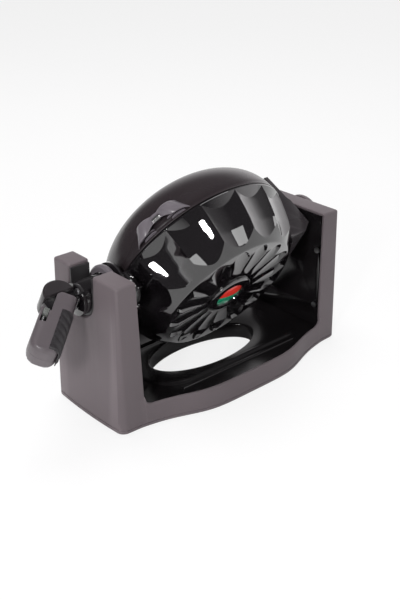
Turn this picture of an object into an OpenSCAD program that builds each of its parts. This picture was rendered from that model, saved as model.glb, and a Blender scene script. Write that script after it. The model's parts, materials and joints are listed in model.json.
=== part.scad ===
// Rotating waffle cone maker.
// A round hinged iron hangs between the two posts of a low stand and turns over
// on a horizontal axis. The fluted half carries the trunnion, the journal and the
// folding handle. The smooth half is the lid, hinged beside the right post.
// Millimetres, +Z up, +X along the stand towards the cord side, -Y is the front.
// The origin is on the table, under the middle of the whole object.

/* [Stand] */
// Length of the stand over both posts
stand_length = 300; // [290:1:320]
// Depth of the stand at the foot of the posts
stand_depth = 108; // [100:1:120]
// Height of the posts above the table
stand_height = 154; // [150:1:170]
// Thickness of a post at its top, along the stand
post_width = 22.5; // [22:0.5:26]
// Extra thickness of a post at its foot, on the side of the iron
post_splay = 3.7; // [1:0.1:4]
// Draft of the front and of the back, over the height of a post
depth_draft = 4.3; // [2:0.1:6]
// Radius of the upright edges of the stand
corner_r = 5.5; // [4:0.5:8]
// Wall of the stand moulding
stand_wall = 3; // [2.5:0.1:3.5]
// Height of the skirt between the posts
skirt_height = 24.5; // [24:0.5:28]
// How far the skirt swells out at its lower edge
skirt_bulge = 23; // [10:1:30]
// How far the skirt swells out at its upper edge
skirt_bulge_top = 17.5; // [8:0.5:25]
// Half length of the swelling of the skirt
bulge_reach = 119; // [110:1:119]
// Gap between the skirt and the table
skirt_lift = 1.2; // [0.8:0.1:2]

/* [Deck] */
// Height of the raised platform that surrounds the opening
platform_height = 21; // [20:0.5:21.5]
// Depth of the pan around the platform
pan_drop = 2.5; // [1:0.5:3]
// Length of the raised platform
platform_length = 206; // [180:1:215]
// Width of the raised platform
platform_width = 82; // [78:1:92]
// Length of the oval opening through the base
opening_length = 141; // [120:1:150]
// Width of the oval opening through the base
opening_width = 71; // [60:1:74]
// Wall of the deck moulding
deck_wall = 2.2; // [1.8:0.1:2.4]

/* [Turning axis] */
// Height of the turning axis above the table
axis_height = 127; // [126.5:0.5:131]
// How far the turning axis lies behind the middle of the stand
axis_back = 5; // [0:0.5:8]
// Lean of the iron: how far its joint plane is turned back from upright
iron_tilt = 31; // [20:1:40]
// Radius of the journal in the left post
journal_r = 16; // [15:0.5:17]
// Wall of the nylon saddle under the journal
saddle_wall = 2.2; // [1.8:0.1:2.6]
// Outer radius of the hollow trunnion in the right post
trunnion_r = 9; // [8:0.5:10]
// Bore radius of the trunnion, where the supply lead passes
trunnion_bore_r = 5.5; // [4:0.5:6]
// Radial clearance of a journal, trunnion or pin that turns in its seat
run_gap = 0.05; // [0.03:0.01:0.08]

/* [Iron] */
// Radius of the iron at the joint between its halves
iron_r = 103.3; // [100:0.1:103.4]
// Offset of the middle of the iron from the middle of the stand
iron_x = -3.6; // [-5:0.1:-2]
// Height of the fluted half above the joint plane
fluted_height = 53.5; // [50:0.5:56]
// Outer radius of the fluted half at its shoulder
shoulder_r = 85.5; // [83:0.5:88]
// Number of flutes around the fluted half
flute_count = 16; // [12:1:18]
// Angle from the hinge to the first ridge between two flutes
flute_phase = 1.3; // [0:0.1:5]
// Depth of a flute below its two ridges
flute_depth = 5.6; // [3:0.1:6]
// Depth of the smooth half below the joint plane
dome_depth = 61.5; // [56:0.5:63]
// Wall of the smooth half
dome_wall = 2.6; // [2:0.1:3]
// Gap between the rims of the two halves
seam_gap = 0.8; // [0.5:0.1:1]
// Radius of a baking plate
plate_r = 90; // [86:0.5:90.5]
// Thickness of a baking plate
plate_thickness = 7; // [6:0.5:8]
// Space between the two baking plates, where the wafer bakes
bake_gap = 3; // [2.5:0.1:4]
// Pitch of the waffle grid
grid_pitch = 16; // [14:1:20]
// Depth of the grooves of the waffle grid
grid_depth = 1.6; // [1:0.1:2]

/* [Lid hinge and catch] */
// Distance of the hinge pin from the middle of the iron
hinge_x = 107.5; // [107.5:0.1:108.5]
// Depth of the hinge pin below the joint plane, on the lid side
hinge_drop = 7; // [6.5:0.1:8]
// Half width of the hinge bracket
hinge_half_width = 32; // [30:0.5:34]
// Half width of the lid's hinge lug
lug_half_width = 12; // [10:0.5:14]
// Radius of the hinge pin
hinge_pin_r = 2.5; // [2:0.1:2.8]
// Direction of the lid catch around the iron, from the hinge
catch_angle = 136.3; // [130:0.1:140]
// Radius of one of the two finger lobes of the catch
catch_lobe_r = 18; // [16:0.5:19]
// Distance of the middles of the lobes from the middle of the iron
catch_lobe_x = 93.5; // [92:0.1:94]
// Height of the catch along the iron's own axis
catch_height = 16; // [14:0.5:18]

/* [Handle] */
// Distance of the fold pin from the middle of the stand
handle_reach = 175; // [175:0.5:185]
// Angle at which the grip stands down from the line of the axis
grip_angle = 43; // [30:1:60]
// Length of the grip from the fold pin to its tip
grip_length = 68.5; // [62:0.5:90]
// Width of the grip across the fold
grip_width = 29.4; // [28:0.2:32]
// Thickness of the grip along the fold pin
grip_thickness = 28; // [27:0.5:30]
// Thickness of the arm that carries the grip
arm_thickness = 11; // [10:0.5:12]
// Width of the arm
arm_width = 18; // [16:0.5:18.5]
// Radius of the fold pin
fold_pin_r = 2.5; // [2:0.1:2.8]
// Travel of the sliding fold lock
lock_travel = 8; // [4:0.5:8]

/* [Supply lead] */
// Radius of the hole through the strain relief
cord_hole_r = 3.6; // [3:0.1:4]
// How far the strain relief stands out of the pivot cap
relief_length = 12; // [8:1:20]

/* [Hidden] */
$fn = 96;
eps = 0.02;
// Height of the thin levels that shape a post
slab = 0.4;
// Gap between fixed pieces that sit against or inside each other
fit_gap = 0.15;
// Gap between moving pieces
free_gap = 0.4;

// Stand
half_length = stand_length / 2;
half_depth = stand_depth / 2;
post_foot_x = half_length - post_width - post_splay;
post_top_x = half_length - post_width;
liner_wall = 2.5;
liner_x = post_top_x + 1.5;
cover_wall = 2.2;
foot_r = 9;
foot_height = skirt_lift + 1.2;
cover_z = foot_height + fit_gap / 3;
deck_z = platform_height - pan_drop;
ledge_wall = 6;
screw_r = 1.6;
screw_head_r = 3.1;
boss_r = 4.5;

// Whole object: the strain relief ends it on the right, the grip on the left
pivot_cap_height = 6;
grip_tip_r = 12;
reach_right = half_length + pivot_cap_height + relief_length;
reach_left = handle_reach + grip_tip_r
    + (grip_length - grip_tip_r) * cos(grip_angle)
    + (grip_width / 2 - grip_tip_r) * sin(grip_angle);
stand_x = (reach_left - reach_right) / 2;
stand_y = 0;

// Turning axis
notch_r = journal_r + saddle_wall + fit_gap;
collar_r = 27;
journal_out_x = -half_length - 4;
journal_in_x = -112;
bush_wall = 3.4;
bush_flange_r = 17;
bush_out_x = liner_x + liner_wall + 6;
ring_x = bush_out_x + 1.5;
ring_width = 2;
trunnion_end_x = ring_x + ring_width + 2;
block_end_x = 123;
flange_width = 3;
pivot_cap_r = 27.5;
cap_bore_r = 7.5;

// Iron, in its own frame: x away from the handle, y along the joint plane, z to the flutes
joint_z = seam_gap / 2;
rim_height = 4;
shoulder_height = fluted_height - 3.5;
shoulder_inset = 7;
face_wall = 4.5;
petal_depth = 3;
wall_slope = (iron_r - shoulder_r) / shoulder_height;
ridge_half_angle = 180 / flute_count;
flute_floor_r = iron_r - flute_depth;
flute_steps = 5;
shell_wall = 2.5;
plate_pocket_r = plate_r + 0.4;
plate_face_z = bake_gap / 2;
plate_back_z = plate_face_z + plate_thickness;
ledge_inner_r = 86;
ledge_height = 3;
heater_r = 58;
heater_tube_r = 3.3;
reflector_r = 78;
reflector_z = plate_back_z + 10;
reflector_wall = 1;
spacer_count = 3;
spacer_ring_r = 70;
spacer_r = 4;
hub_r = 26;
lens_r = 15.5;
lens_split = 0.4;
bezel_height = 2.4;
hub_hole_r = 20;

// Hinge
hinge_eye_r = 4.5;
hinge_z = -hinge_drop;
block_start_x = 90;
block_height = 33;
fin_tip_z = -46;
fin_wall = 4.5;
window_x = 91.5;
lug_end_x = 92;

// Catch
catch_lobe_wall = 2.4;
catch_skin_r = iron_r + 0.5;
catch_pin_r = 1.5;
catch_pin_x = iron_r + 3.4;
catch_pin_z = -catch_height + 4.6;
catch_lobe_turn = ridge_half_angle;
hook_width = 10;

// Handle
hub_x = -handle_reach - iron_x;
arm_end_r = 16;
cap_r = 16;
cap_z = -4.2;
cap_clear_r = 21;
root_clear_r = arm_end_r + 1;
grip_edge_r = 7;
root_top = arm_thickness / 2 - 0.3;
grip_wall = 2.4;
lock_x = 22;
lock_z = 9.5;
lock_length = 7;
lock_width = 5;
pad_start = 25;
pad_end = 61;
pad_half_width = 8;
rib_pitch = 5;

// ---------------------------------------------------------------- frames

// Middle of the stand on the table
module at_stand() {
    translate([stand_x, stand_y, 0]) children();
}

// A point on the turning axis, with the local z axis along +X
module on_axis(x) {
    at_stand() translate([x, axis_back, axis_height]) rotate([0, 90, 0]) children();
}

// The iron's own frame: +z points out of the fluted half, +x to the hinge
module at_iron() {
    at_stand() translate([iron_x, axis_back, axis_height])
        rotate([90 + iron_tilt, 0, 0]) children();
}

// The catch: the iron's frame turned so that +x points out through the catch
module at_catch() {
    at_iron() rotate([0, 0, catch_angle]) children();
}

// The grip: origin on the fold pin, +x along the grip, +z away from the post
module at_grip() {
    at_iron() translate([hub_x, 0, 0]) rotate([0, 180 + grip_angle, 0]) children();
}

// A shape drawn in x and z, pulled along y to both sides
module across_y(half) {
    rotate([90, 0, 0]) linear_extrude(2 * half, center = true) children();
}

// A countersunk screw, head at z = 0 and shank towards +z
module screw(length, head_r = screw_head_r) {
    cylinder(h = 2, r = head_r);
    cylinder(h = length, r = screw_r);
}

// ---------------------------------------------------------------- stand

// Half depth of the skirt at x, swollen between the posts
function skirt_y(x, half, bulge) =
    half + bulge * pow(max(0, 1 - pow(x / bulge_reach, 2)), 1.2);

// Plan outline of the stand: two swollen sides and four round corners
function stand_outline(half_x, half_y, bulge, r) =
    let (n = 24, x_max = half_x - r, y_max = half_y - r, turns = [for (k = [0:4]) k * 22.5])
    concat(
        [for (i = [0:n]) let (x = bulge_reach * (2 * i / n - 1)) [x, -skirt_y(x, half_y, bulge)]],
        [for (a = turns) [x_max + r * sin(a), -y_max - r * cos(a)]],
        [for (a = turns) [x_max + r * cos(a), y_max + r * sin(a)]],
        [for (i = [0:n]) let (x = bulge_reach * (1 - 2 * i / n)) [x, skirt_y(x, half_y, bulge)]],
        [for (a = turns) [-x_max - r * sin(a), y_max + r * cos(a)]],
        [for (a = turns) [-x_max - r * cos(a), -y_max - r * sin(a)]]
    );

// A solid between two outlines with the same number of points, both round the z axis
module ruled(lower, upper, z0, z1) {
    n = len(lower);
    polyhedron(
        points = concat(
            [for (p = lower) [p.x, p.y, z0]],
            [for (p = upper) [p.x, p.y, z1]],
            [[0, 0, z0], [0, 0, z1]]
        ),
        faces = concat(
            [for (i = [0:n - 1]) [i, (i + 1) % n, 2 * n]],
            [for (i = [0:n - 1]) [n + (i + 1) % n, n + i, 2 * n + 1]],
            [for (i = [0:n - 1]) [i, n + i, n + (i + 1) % n]],
            [for (i = [0:n - 1]) [i, n + (i + 1) % n, (i + 1) % n]]
        )
    );
}

// Draft of the front and back walls at height z
function draft_at(z) = depth_draft * z / stand_height;

// Skirt between the posts as one solid; its ends stay inside the foot of each post
module skirt_solid() {
    end_x = half_length - 1.5;
    inset = 0.3;
    ruled(
        stand_outline(end_x, half_depth - inset, skirt_bulge, corner_r),
        stand_outline(end_x, half_depth - draft_at(skirt_height) - inset, skirt_bulge_top, corner_r),
        skirt_lift + 0.1, skirt_height
    );
}

// Everything inside the skirt, less a wall on all sides
module skirt_inside(wall, z0, z1, half_x) {
    translate([0, 0, z0]) linear_extrude(z1 - z0)
        polygon(stand_outline(half_x, half_depth - draft_at(skirt_height) - wall,
            skirt_bulge_top, corner_r / 2));
}

// One level of a post, as a thin rounded slab at height z
module post_slab(z, x_in, inset) {
    half_y = half_depth - draft_at(z) - inset;
    for (y = [-1, 1]) {
        translate([half_length - corner_r - inset, y * (half_y - corner_r), z])
            cylinder(h = slab, r = corner_r, $fn = 32);
        translate([x_in + inset + 1, y * (half_y - 1), z]) cylinder(h = slab, r = 1, $fn = 16);
    }
}

// Outside of the right post
module post_solid() {
    edge = 2;
    hull() {
        post_slab(skirt_lift, post_foot_x, 0);
        post_slab(stand_height - edge, post_top_x - 0.1, 0);
        post_slab(stand_height - slab, post_top_x, edge * 0.8);
    }
}

// Space between the walls of the right post, open towards the iron
module post_inside() {
    low = half_depth - stand_wall;
    high = low - draft_at(stand_height);
    top = stand_height - stand_wall;
    intersection() {
        translate([post_foot_x - 10, -half_depth, skirt_height - ledge_wall - 2])
            cube([half_length - stand_wall - post_foot_x + 10, stand_depth,
                top - skirt_height + ledge_wall + 2]);
        rotate([90, 0, 90]) linear_extrude(stand_length)
            polygon([[-low, 0], [low, 0], [high, stand_height], [-high, stand_height]]);
    }
}

// Both posts from the right one
module both_posts() {
    children();
    mirror([1, 0, 0]) children();
}

// The notch in the left post, open at the top, pulled along the axis
module notch(r, x0, x1) {
    translate([x0, axis_back, axis_height]) rotate([0, 90, 0]) cylinder(h = x1 - x0, r = r);
    translate([x0, axis_back - r, axis_height])
        cube([x1 - x0, 2 * r, stand_height - axis_height + 5]);
}

// Places of the screws that hold the bottom cover to the shell, and to the deck
shell_screw_x = half_length - stand_wall - boss_r - 1;
shell_screw_y = half_depth - stand_wall - boss_r - 1;
deck_screw_x = opening_length / 2 + 14;
deck_screw_y = 20;

module at_shell_screws() {
    for (x = [-1, 1], y = [-1, 1]) translate([x * shell_screw_x, y * shell_screw_y, 0]) children();
}

module at_deck_screws() {
    for (x = [-1, 1], y = [-1, 1]) translate([x * deck_screw_x, y * deck_screw_y, 0]) children();
}

// Screws through a post liner into the rails of the post
liner_screw_y = half_depth - depth_draft - stand_wall - 5;

module at_liner_screws() {
    both_posts() for (y = [-1, 1], z = [44, 110])
        translate([liner_x, y * liner_screw_y, z]) rotate([0, 90, 0]) children();
}

module stand_shell() {
    boss_top = 32;
    boss_z = cover_z + cover_wall + fit_gap;
    color("#6b6267") at_stand() difference() {
        union() {
            difference() {
                union() {
                    skirt_solid();
                    both_posts() post_solid();
                }
                // pan between the posts, the ledge under the deck, and the space below it
                skirt_inside(stand_wall, deck_z - deck_wall - fit_gap, stand_height + 5,
                    post_foot_x - eps);
                skirt_inside(stand_wall, deck_z - deck_wall - fit_gap, deck_z + 3,
                    liner_x + liner_wall + 2);
                skirt_inside(ledge_wall, 0, deck_z, half_length - stand_wall);
                skirt_inside(stand_wall, 0, deck_z - deck_wall - 4, half_length - stand_wall);
                both_posts() post_inside();
            }
            // screw bosses in the four corners, and the rails that carry the liners
            at_shell_screws() translate([0, 0, boss_z]) cylinder(h = boss_top - boss_z, r = boss_r);
            both_posts() for (y = [-1, 1]) {
                translate([liner_x + liner_wall + fit_gap, y * liner_screw_y - 3, 36])
                    cube([half_length - stand_wall - liner_x - liner_wall, 6, 82]);
            }
            both_posts() for (y = [-1, 1])
                translate([shell_screw_x - 1, min(y * shell_screw_y, y * (half_depth - 2)),
                    boss_z]) cube([2, half_depth - 2 - shell_screw_y, boss_top - boss_z]);
        }
        notch(notch_r, -half_length - 5, -post_foot_x + 20);
        // holes for the cover screws and the liner screws
        at_shell_screws() translate([0, 0, 0]) cylinder(h = 20, r = screw_r + 0.05);
        at_liner_screws() cylinder(h = 12, r = screw_r + 0.05);
        // hole behind the pivot cap
        translate([half_length - 10, axis_back, axis_height]) rotate([0, 90, 0])
            cylinder(h = 20, r = cap_bore_r + 3);
    }
}

// Oval outline by its two half axes
function oval(a, b) = [for (i = [0:71]) [a * cos(5 * i), b * sin(5 * i)]];

module rounded_plate(length, width, r, h) {
    linear_extrude(h) union() {
        square([length - 2 * r, width], center = true);
        square([length, width - 2 * r], center = true);
        for (x = [-1, 1], y = [-1, 1])
            translate([x * (length / 2 - r), y * (width / 2 - r)]) circle(r);
    }
}

module base_deck() {
    deck_half_x = liner_x + liner_wall + 1;
    boss_z = cover_z + cover_wall + fit_gap;
    bead_y = platform_width / 2 + 9;
    color("#2c282b") at_stand() difference() {
        union() {
            translate([0, 0, deck_z - deck_wall])
                linear_extrude(deck_wall)
                    polygon(stand_outline(deck_half_x, half_depth - draft_at(skirt_height)
                        - stand_wall - fit_gap, skirt_bulge_top, corner_r / 2));
            translate([0, 0, deck_z - deck_wall])
                rounded_plate(platform_length, platform_width, 22, pan_drop + deck_wall);
            translate([0, 0, boss_z]) linear_extrude(platform_height - boss_z)
                polygon(oval(opening_length / 2 + deck_wall, opening_width / 2 + deck_wall));
            at_deck_screws() translate([0, 0, boss_z]) cylinder(h = deck_z - boss_z, r = boss_r);
            // long beads in the pan, in front of and behind the platform
            for (y = [-1, 1]) translate([-75, y * bead_y, deck_z]) rotate([0, 90, 0])
                cylinder(h = 155, r = 1.6);
        }
        // hollow under the platform
        difference() {
            translate([0, 0, deck_z - deck_wall - 1])
                rounded_plate(platform_length - 2 * deck_wall, platform_width - 2 * deck_wall,
                    20, pan_drop + 1);
            linear_extrude(platform_height)
                polygon(oval(opening_length / 2 + deck_wall, opening_width / 2 + deck_wall));
            at_deck_screws() cylinder(h = platform_height, r = boss_r);
        }
        linear_extrude(stand_height) polygon(oval(opening_length / 2, opening_width / 2));
        at_deck_screws() translate([0, 0, 0]) cylinder(h = deck_z - 3, r = screw_r + 0.05);
    }
}

module bottom_cover() {
    sink = 1.2;
    color("#333033") at_stand() difference() {
        skirt_inside(stand_wall + fit_gap, cover_z, cover_z + cover_wall,
            half_length - stand_wall - fit_gap);
        linear_extrude(stand_height) polygon(oval(opening_length / 2, opening_width / 2));
        for (places = [0, 1]) {
            if (places == 0) at_shell_screws() cylinder(h = 10, r = screw_r + 0.2);
            else at_deck_screws() cylinder(h = 10, r = screw_r + 0.2);
        }
        at_shell_screws() cylinder(h = cover_z + sink, r = screw_head_r + 0.2);
        at_deck_screws() cylinder(h = cover_z + sink, r = screw_head_r + 0.2);
    }
}

foot_x = half_length - 30;
foot_y = half_depth - 16;

module rubber_feet() {
    color("#1b1b1c") at_stand() for (x = [-1, 1], y = [-1, 1])
        translate([x * foot_x, y * foot_y, 0]) {
            cylinder(h = foot_height / 2, r1 = foot_r - 0.6, r2 = foot_r);
            translate([0, 0, foot_height / 2]) cylinder(h = foot_height / 2, r = foot_r);
        }
}

module base_screws() {
    sink = 1.2;
    color("#9a9a9a") at_stand() {
        at_shell_screws() translate([0, 0, cover_z + sink - 2]) screw(14);
        at_deck_screws() translate([0, 0, cover_z + sink - 2]) screw(12);
    }
}

// Inner cover of the right post, without holes
module post_liner() {
    z0 = deck_z + fit_gap;
    top = stand_height - stand_wall - fit_gap;
    low = half_depth - stand_wall - fit_gap - draft_at(z0);
    high = half_depth - stand_wall - fit_gap - draft_at(top);
    translate([liner_x, 0, 0]) rotate([90, 0, 90]) linear_extrude(liner_wall)
        polygon([[-low, z0], [low, z0], [high, top], [-high, top]]);
}

module left_post_liner() {
    color("#2a2629") at_stand() difference() {
        mirror([1, 0, 0]) post_liner();
        notch(notch_r, -half_length, -post_foot_x + 20);
        at_liner_screws() cylinder(h = 12, r = screw_r + 0.2);
    }
}

module right_post_liner() {
    color("#2a2629") at_stand() difference() {
        post_liner();
        translate([liner_x - 5, axis_back, axis_height]) rotate([0, 90, 0])
            cylinder(h = 20, r = trunnion_r + bush_wall + fit_gap / 2);
        at_liner_screws() cylinder(h = 12, r = screw_r + 0.2);
    }
}

module liner_screws() {
    color("#8c8c8c") at_stand() at_liner_screws() translate([0, 0, -2 - fit_gap / 3]) screw(12);
}

module journal_saddle() {
    top = stand_height - stand_wall;
    x0 = -half_length + 0.5;
    x1 = -liner_x + 1;
    color("#1f1d1f") at_stand() intersection() {
        difference() {
            notch(notch_r - fit_gap, x0, x1);
            notch(journal_r + run_gap, x0 - 1, x1 + 1);
        }
        translate([-half_length, -half_depth, 0]) cube([half_length, stand_depth, top]);
    }
}

module trunnion_bush() {
    flange_x = liner_x - 2;
    color("#d9d4c5") difference() {
        union() {
            on_axis(liner_x - fit_gap / 3) cylinder(h = bush_out_x - liner_x, r = trunnion_r + bush_wall);
            on_axis(flange_x) cylinder(h = 2 - fit_gap / 3, r = bush_flange_r);
        }
        on_axis(flange_x - 1) cylinder(h = 30, r = trunnion_r + run_gap);
    }
}

module pivot_cap() {
    edge = 1.5;
    color("#6b6267") difference() {
        union() {
            on_axis(half_length + fit_gap / 3) cylinder(h = pivot_cap_height - edge, r = pivot_cap_r);
            on_axis(half_length + pivot_cap_height - edge)
                cylinder(h = edge, r1 = pivot_cap_r, r2 = pivot_cap_r - edge);
            on_axis(half_length - stand_wall - 1)
                cylinder(h = stand_wall + 2, r = cap_bore_r + 3 - fit_gap);
        }
        on_axis(half_length - 10) cylinder(h = 30, r = cap_bore_r);
    }
}

module strain_relief() {
    out = half_length + pivot_cap_height;
    color("#232224") difference() {
        union() {
            on_axis(half_length - stand_wall - 1)
                cylinder(h = pivot_cap_height + stand_wall + 2, r = cap_bore_r - fit_gap / 2);
            on_axis(out + fit_gap / 3) cylinder(h = 2.5, r = cap_bore_r + 2.5);
            on_axis(out + 2) cylinder(h = relief_length - 2, r1 = cap_bore_r, r2 = cord_hole_r + 1.6);
        }
        on_axis(half_length - 10) cylinder(h = 60, r = cord_hole_r);
    }
}

// ---------------------------------------------------------------- fluted half

// Outer profile of the fluted half: radius and height, from the rim to the face
fluted_profile = [
    [iron_r, joint_z], [iron_r, rim_height],
    [iron_r - 2, rim_height + 8], [iron_r - 5.3, rim_height + 19],
    [shoulder_r + 8.5, shoulder_height - 16], [shoulder_r + 3.5, shoulder_height - 6],
    [shoulder_r, shoulder_height], [shoulder_r - 2, shoulder_height + 2],
    [shoulder_r - shoulder_inset, fluted_height]
];

// The room the fluted half takes with all its flutes filled, with a margin all round
module fluted_envelope(margin = 0) {
    rotate_extrude() polygon(concat(
        [[0, joint_z - margin]],
        [for (p = fluted_profile) [p.x + margin, p.y + (p.y > fluted_height - 1 ? margin : 0)]],
        [[0, fluted_height + margin]]
    ));
}

// Radius of the inner wall of the fluted half at height z
function fluted_inner_r(z) = flute_floor_r - shell_wall - wall_slope * z;

module fluted_cavity() {
    ceiling = fluted_height - face_wall;
    rotate_extrude() polygon([
        [0, -1], [plate_pocket_r, -1], [plate_pocket_r, plate_back_z + fit_gap / 2],
        [ledge_inner_r, plate_back_z + fit_gap / 2],
        [ledge_inner_r, plate_back_z + ledge_height],
        [fluted_inner_r(plate_back_z + ledge_height), plate_back_z + ledge_height + 2],
        [fluted_inner_r(ceiling), ceiling - 2], [fluted_inner_r(ceiling) - 3, ceiling],
        [0, ceiling]
    ]);
}

// Levels of the fluted half: ridge radius, height, flute depth there, petal depth there
fluted_levels = [
    [iron_r, joint_z, 0, 0],
    [iron_r, rim_height, 0, 0],
    [iron_r - 0.4, rim_height + 0.6, flute_depth * 0.45, 0],
    [iron_r - 2, rim_height + 8, flute_depth * 0.9, 0],
    [iron_r - 5.3, rim_height + 19, flute_depth, 0],
    [shoulder_r + 8.5, shoulder_height - 16, flute_depth * 0.95, 0],
    [shoulder_r + 3.5, shoulder_height - 6, flute_depth * 0.75, 0],
    [shoulder_r, shoulder_height, flute_depth * 0.4, 0],
    [shoulder_r - 2, shoulder_height + 2, 0, 0],
    [shoulder_r - shoulder_inset, fluted_height, 0, 0],
    [shoulder_r - shoulder_inset - 3, fluted_height, 0, petal_depth],
    [(shoulder_r + hub_r) / 2, fluted_height, 0, petal_depth * 0.7],
    [hub_r + 8, fluted_height, 0, 0]
];

// Ridges stand at the ends of a flute and its floor lies between them
function hollow(step) = sin(180 * step / flute_steps);

function level_ring(level) = [
    for (k = [0:flute_count - 1], i = [0:flute_steps - 1])
        let (a = flute_phase + (k + i / flute_steps) * 360 / flute_count,
            r = level[0] - level[2] * hollow(i))
        [r * cos(a), r * sin(a), level[1] - level[3] * hollow(i)]
];

// The outer skin of the fluted half as a closed solid, level by level
module fluted_solid() {
    n = flute_count * flute_steps;
    last = len(fluted_levels) - 1;
    polyhedron(
        points = concat(
            [for (level = fluted_levels) each level_ring(level)],
            [[0, 0, joint_z], [0, 0, fluted_height]]
        ),
        faces = concat(
            [for (i = [0:n - 1]) [i, (i + 1) % n, (last + 1) * n]],
            [for (i = [0:n - 1])
                [last * n + (i + 1) % n, last * n + i, (last + 1) * n + 1]],
            [for (v = [0:last - 1], i = [0:n - 1])
                [v * n + i, (v + 1) * n + i, (v + 1) * n + (i + 1) % n]],
            [for (v = [0:last - 1], i = [0:n - 1])
                [v * n + i, (v + 1) * n + (i + 1) % n, v * n + (i + 1) % n]]
        )
    );
}

module fluted_shell() {
    wire_r = trunnion_bore_r;
    color("#121113") at_iron() difference() {
        fluted_solid();
        fluted_cavity();
        cylinder(h = 100, r = hub_hole_r + fit_gap);
        // lead hole into the hinge bracket
        translate([60, 0, 16]) rotate([0, 90, 0]) cylinder(h = 60, r = wire_r);
        // room for the hook of the catch
        rotate([0, 0, catch_angle]) translate([iron_r - 5, -hook_width / 2 - 1, -1])
            cube([10, hook_width + 2, 7]);
        // screw holes of the journal bracket and the hinge bracket
        for (y = [-1, 1]) {
            translate([-iron_r - 5, y * 11, 14]) rotate([0, 90, 0])
                cylinder(h = 20, r = screw_r + 0.05);
            translate([iron_r - 20, y * 20, 16]) rotate([0, 90, 0])
                cylinder(h = 30, r = screw_r + 0.05);
        }
    }
}

// A baking plate with its grid on the face and a low rim, face at z = bake_gap / 2
module baking_plate() {
    rim_width = 3.5;
    groove = 2;
    field_r = plate_r - rim_width - 3;
    count = floor(field_r / grid_pitch);
    difference() {
        union() {
            translate([0, 0, plate_face_z]) cylinder(h = plate_thickness, r = plate_r);
            difference() {
                translate([0, 0, 0.2]) cylinder(h = plate_face_z, r = plate_r);
                translate([0, 0, -1]) cylinder(h = plate_face_z + 2, r = plate_r - rim_width);
            }
        }
        intersection() {
            translate([0, 0, plate_face_z - 1]) cylinder(h = grid_depth + 1, r = field_r);
            for (k = [-count:count], turn = [0, 90]) rotate([0, 0, turn + 45])
                translate([-plate_r, k * grid_pitch - groove / 2, plate_face_z - 1])
                    cube([2 * plate_r, groove, grid_depth + 1]);
        }
        at_spacers() translate([0, 0, plate_back_z - 4.5]) cylinder(h = 10, r = screw_r + 0.05);
    }
}

module at_spacers() {
    for (k = [0:spacer_count - 1]) rotate([0, 0, 30 + k * 360 / spacer_count])
        translate([spacer_ring_r, 0, 0]) children();
}

// Tubular heating element on the back of a plate, with two upright ends
module heating_element() {
    z = plate_back_z + heater_tube_r + 0.1;
    gap_angle = 16;
    translate([0, 0, z]) rotate([0, 0, 90 + gap_angle / 2])
        rotate_extrude(angle = 360 - gap_angle, $fn = 72) translate([heater_r, 0])
            circle(heater_tube_r, $fn = 32);
    for (s = [-1, 1]) rotate([0, 0, 90 + s * gap_angle / 2])
        translate([heater_r, 0, plate_back_z + 0.05]) {
            cylinder(h = 2 * heater_tube_r + 0.6, r = heater_tube_r + 0.4);
            cylinder(h = 17, r = heater_tube_r - 0.4);
        }
}

// Heat shield over the element, standing on spacers
module reflector() {
    difference() {
        union() {
            translate([0, 0, reflector_z]) cylinder(h = reflector_wall, r = reflector_r);
            difference() {
                translate([0, 0, reflector_z - 3]) cylinder(h = 3.5, r = reflector_r);
                translate([0, 0, reflector_z - 4]) cylinder(h = 6, r = reflector_r - 1);
            }
            at_spacers() translate([0, 0, plate_back_z + 0.05])
                cylinder(h = reflector_z - plate_back_z, r = spacer_r);
        }
        translate([0, 0, reflector_z - 1]) cylinder(h = 5, r = 26);
        for (s = [-1, 1]) rotate([0, 0, 90 + s * 8]) translate([heater_r, 0, reflector_z - 1])
            cylinder(h = 5, r = heater_tube_r + 1);
        at_spacers() cylinder(h = 60, r = screw_r + 0.2);
    }
}

module plate_screw_set() {
    head = 2;
    top = reflector_z + reflector_wall + 0.05;
    at_spacers() translate([0, 0, top + head]) mirror([0, 0, 1])
        screw(top + head - plate_back_z + 4);
}

module fluted_plate() {
    color("#3a3a3c") at_iron() baking_plate();
}

module fluted_heater() {
    color("#8d8379") at_iron() heating_element();
}

module fluted_reflector() {
    color("#c9c9c6") at_iron() reflector();
}

module fluted_plate_screws() {
    color("#9a9a9a") at_iron() plate_screw_set();
}

module thermostat() {
    color("#d8d4cc") at_iron() translate([0, 0, plate_back_z + 0.05]) {
        cylinder(h = 7, r = 8.5);
        translate([0, 0, 7]) cylinder(h = 3, r = 6.5);
        for (s = [-1, 1]) translate([s * 4.5 - 3, -0.4, 9]) cube([6, 0.8, 9]);
    }
}

module indicator_bezel() {
    z = fluted_height;
    skirt_z = z - 13;
    color("#17161a") at_iron() difference() {
        union() {
            translate([0, 0, z + 0.05]) cylinder(h = bezel_height - 1, r = hub_r);
            translate([0, 0, z + bezel_height - 1]) cylinder(h = 1, r1 = hub_r, r2 = hub_r - 2);
            translate([0, 0, skirt_z]) cylinder(h = z - skirt_z + 1, r = hub_hole_r);
        }
        translate([0, 0, skirt_z - 1]) cylinder(h = 12, r = hub_hole_r - 1.8);
        translate([0, 0, skirt_z - 1]) cylinder(h = 40, r = lens_r - 1.5);
        translate([0, 0, z - 1]) cylinder(h = 10, r = lens_r + fit_gap);
    }
}

// Half of the round indicator window; side is +1 or -1
module half_lens(side) {
    crown_r = 60;
    z = fluted_height - 1 + 0.05;
    intersection() {
        translate([0, 0, z]) cylinder(h = 10, r = lens_r);
        translate([0, 0, z + 3.6 - crown_r]) sphere(crown_r, $fn = 180);
        translate([-50, side > 0 ? lens_split / 2 : -50, 0])
            cube([100, 50 - lens_split / 2, 100]);
    }
}

module red_lens() {
    color("#c3302a") at_iron() half_lens(1);
}

module green_lens() {
    color("#1e7f5c") at_iron() half_lens(-1);
}

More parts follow.
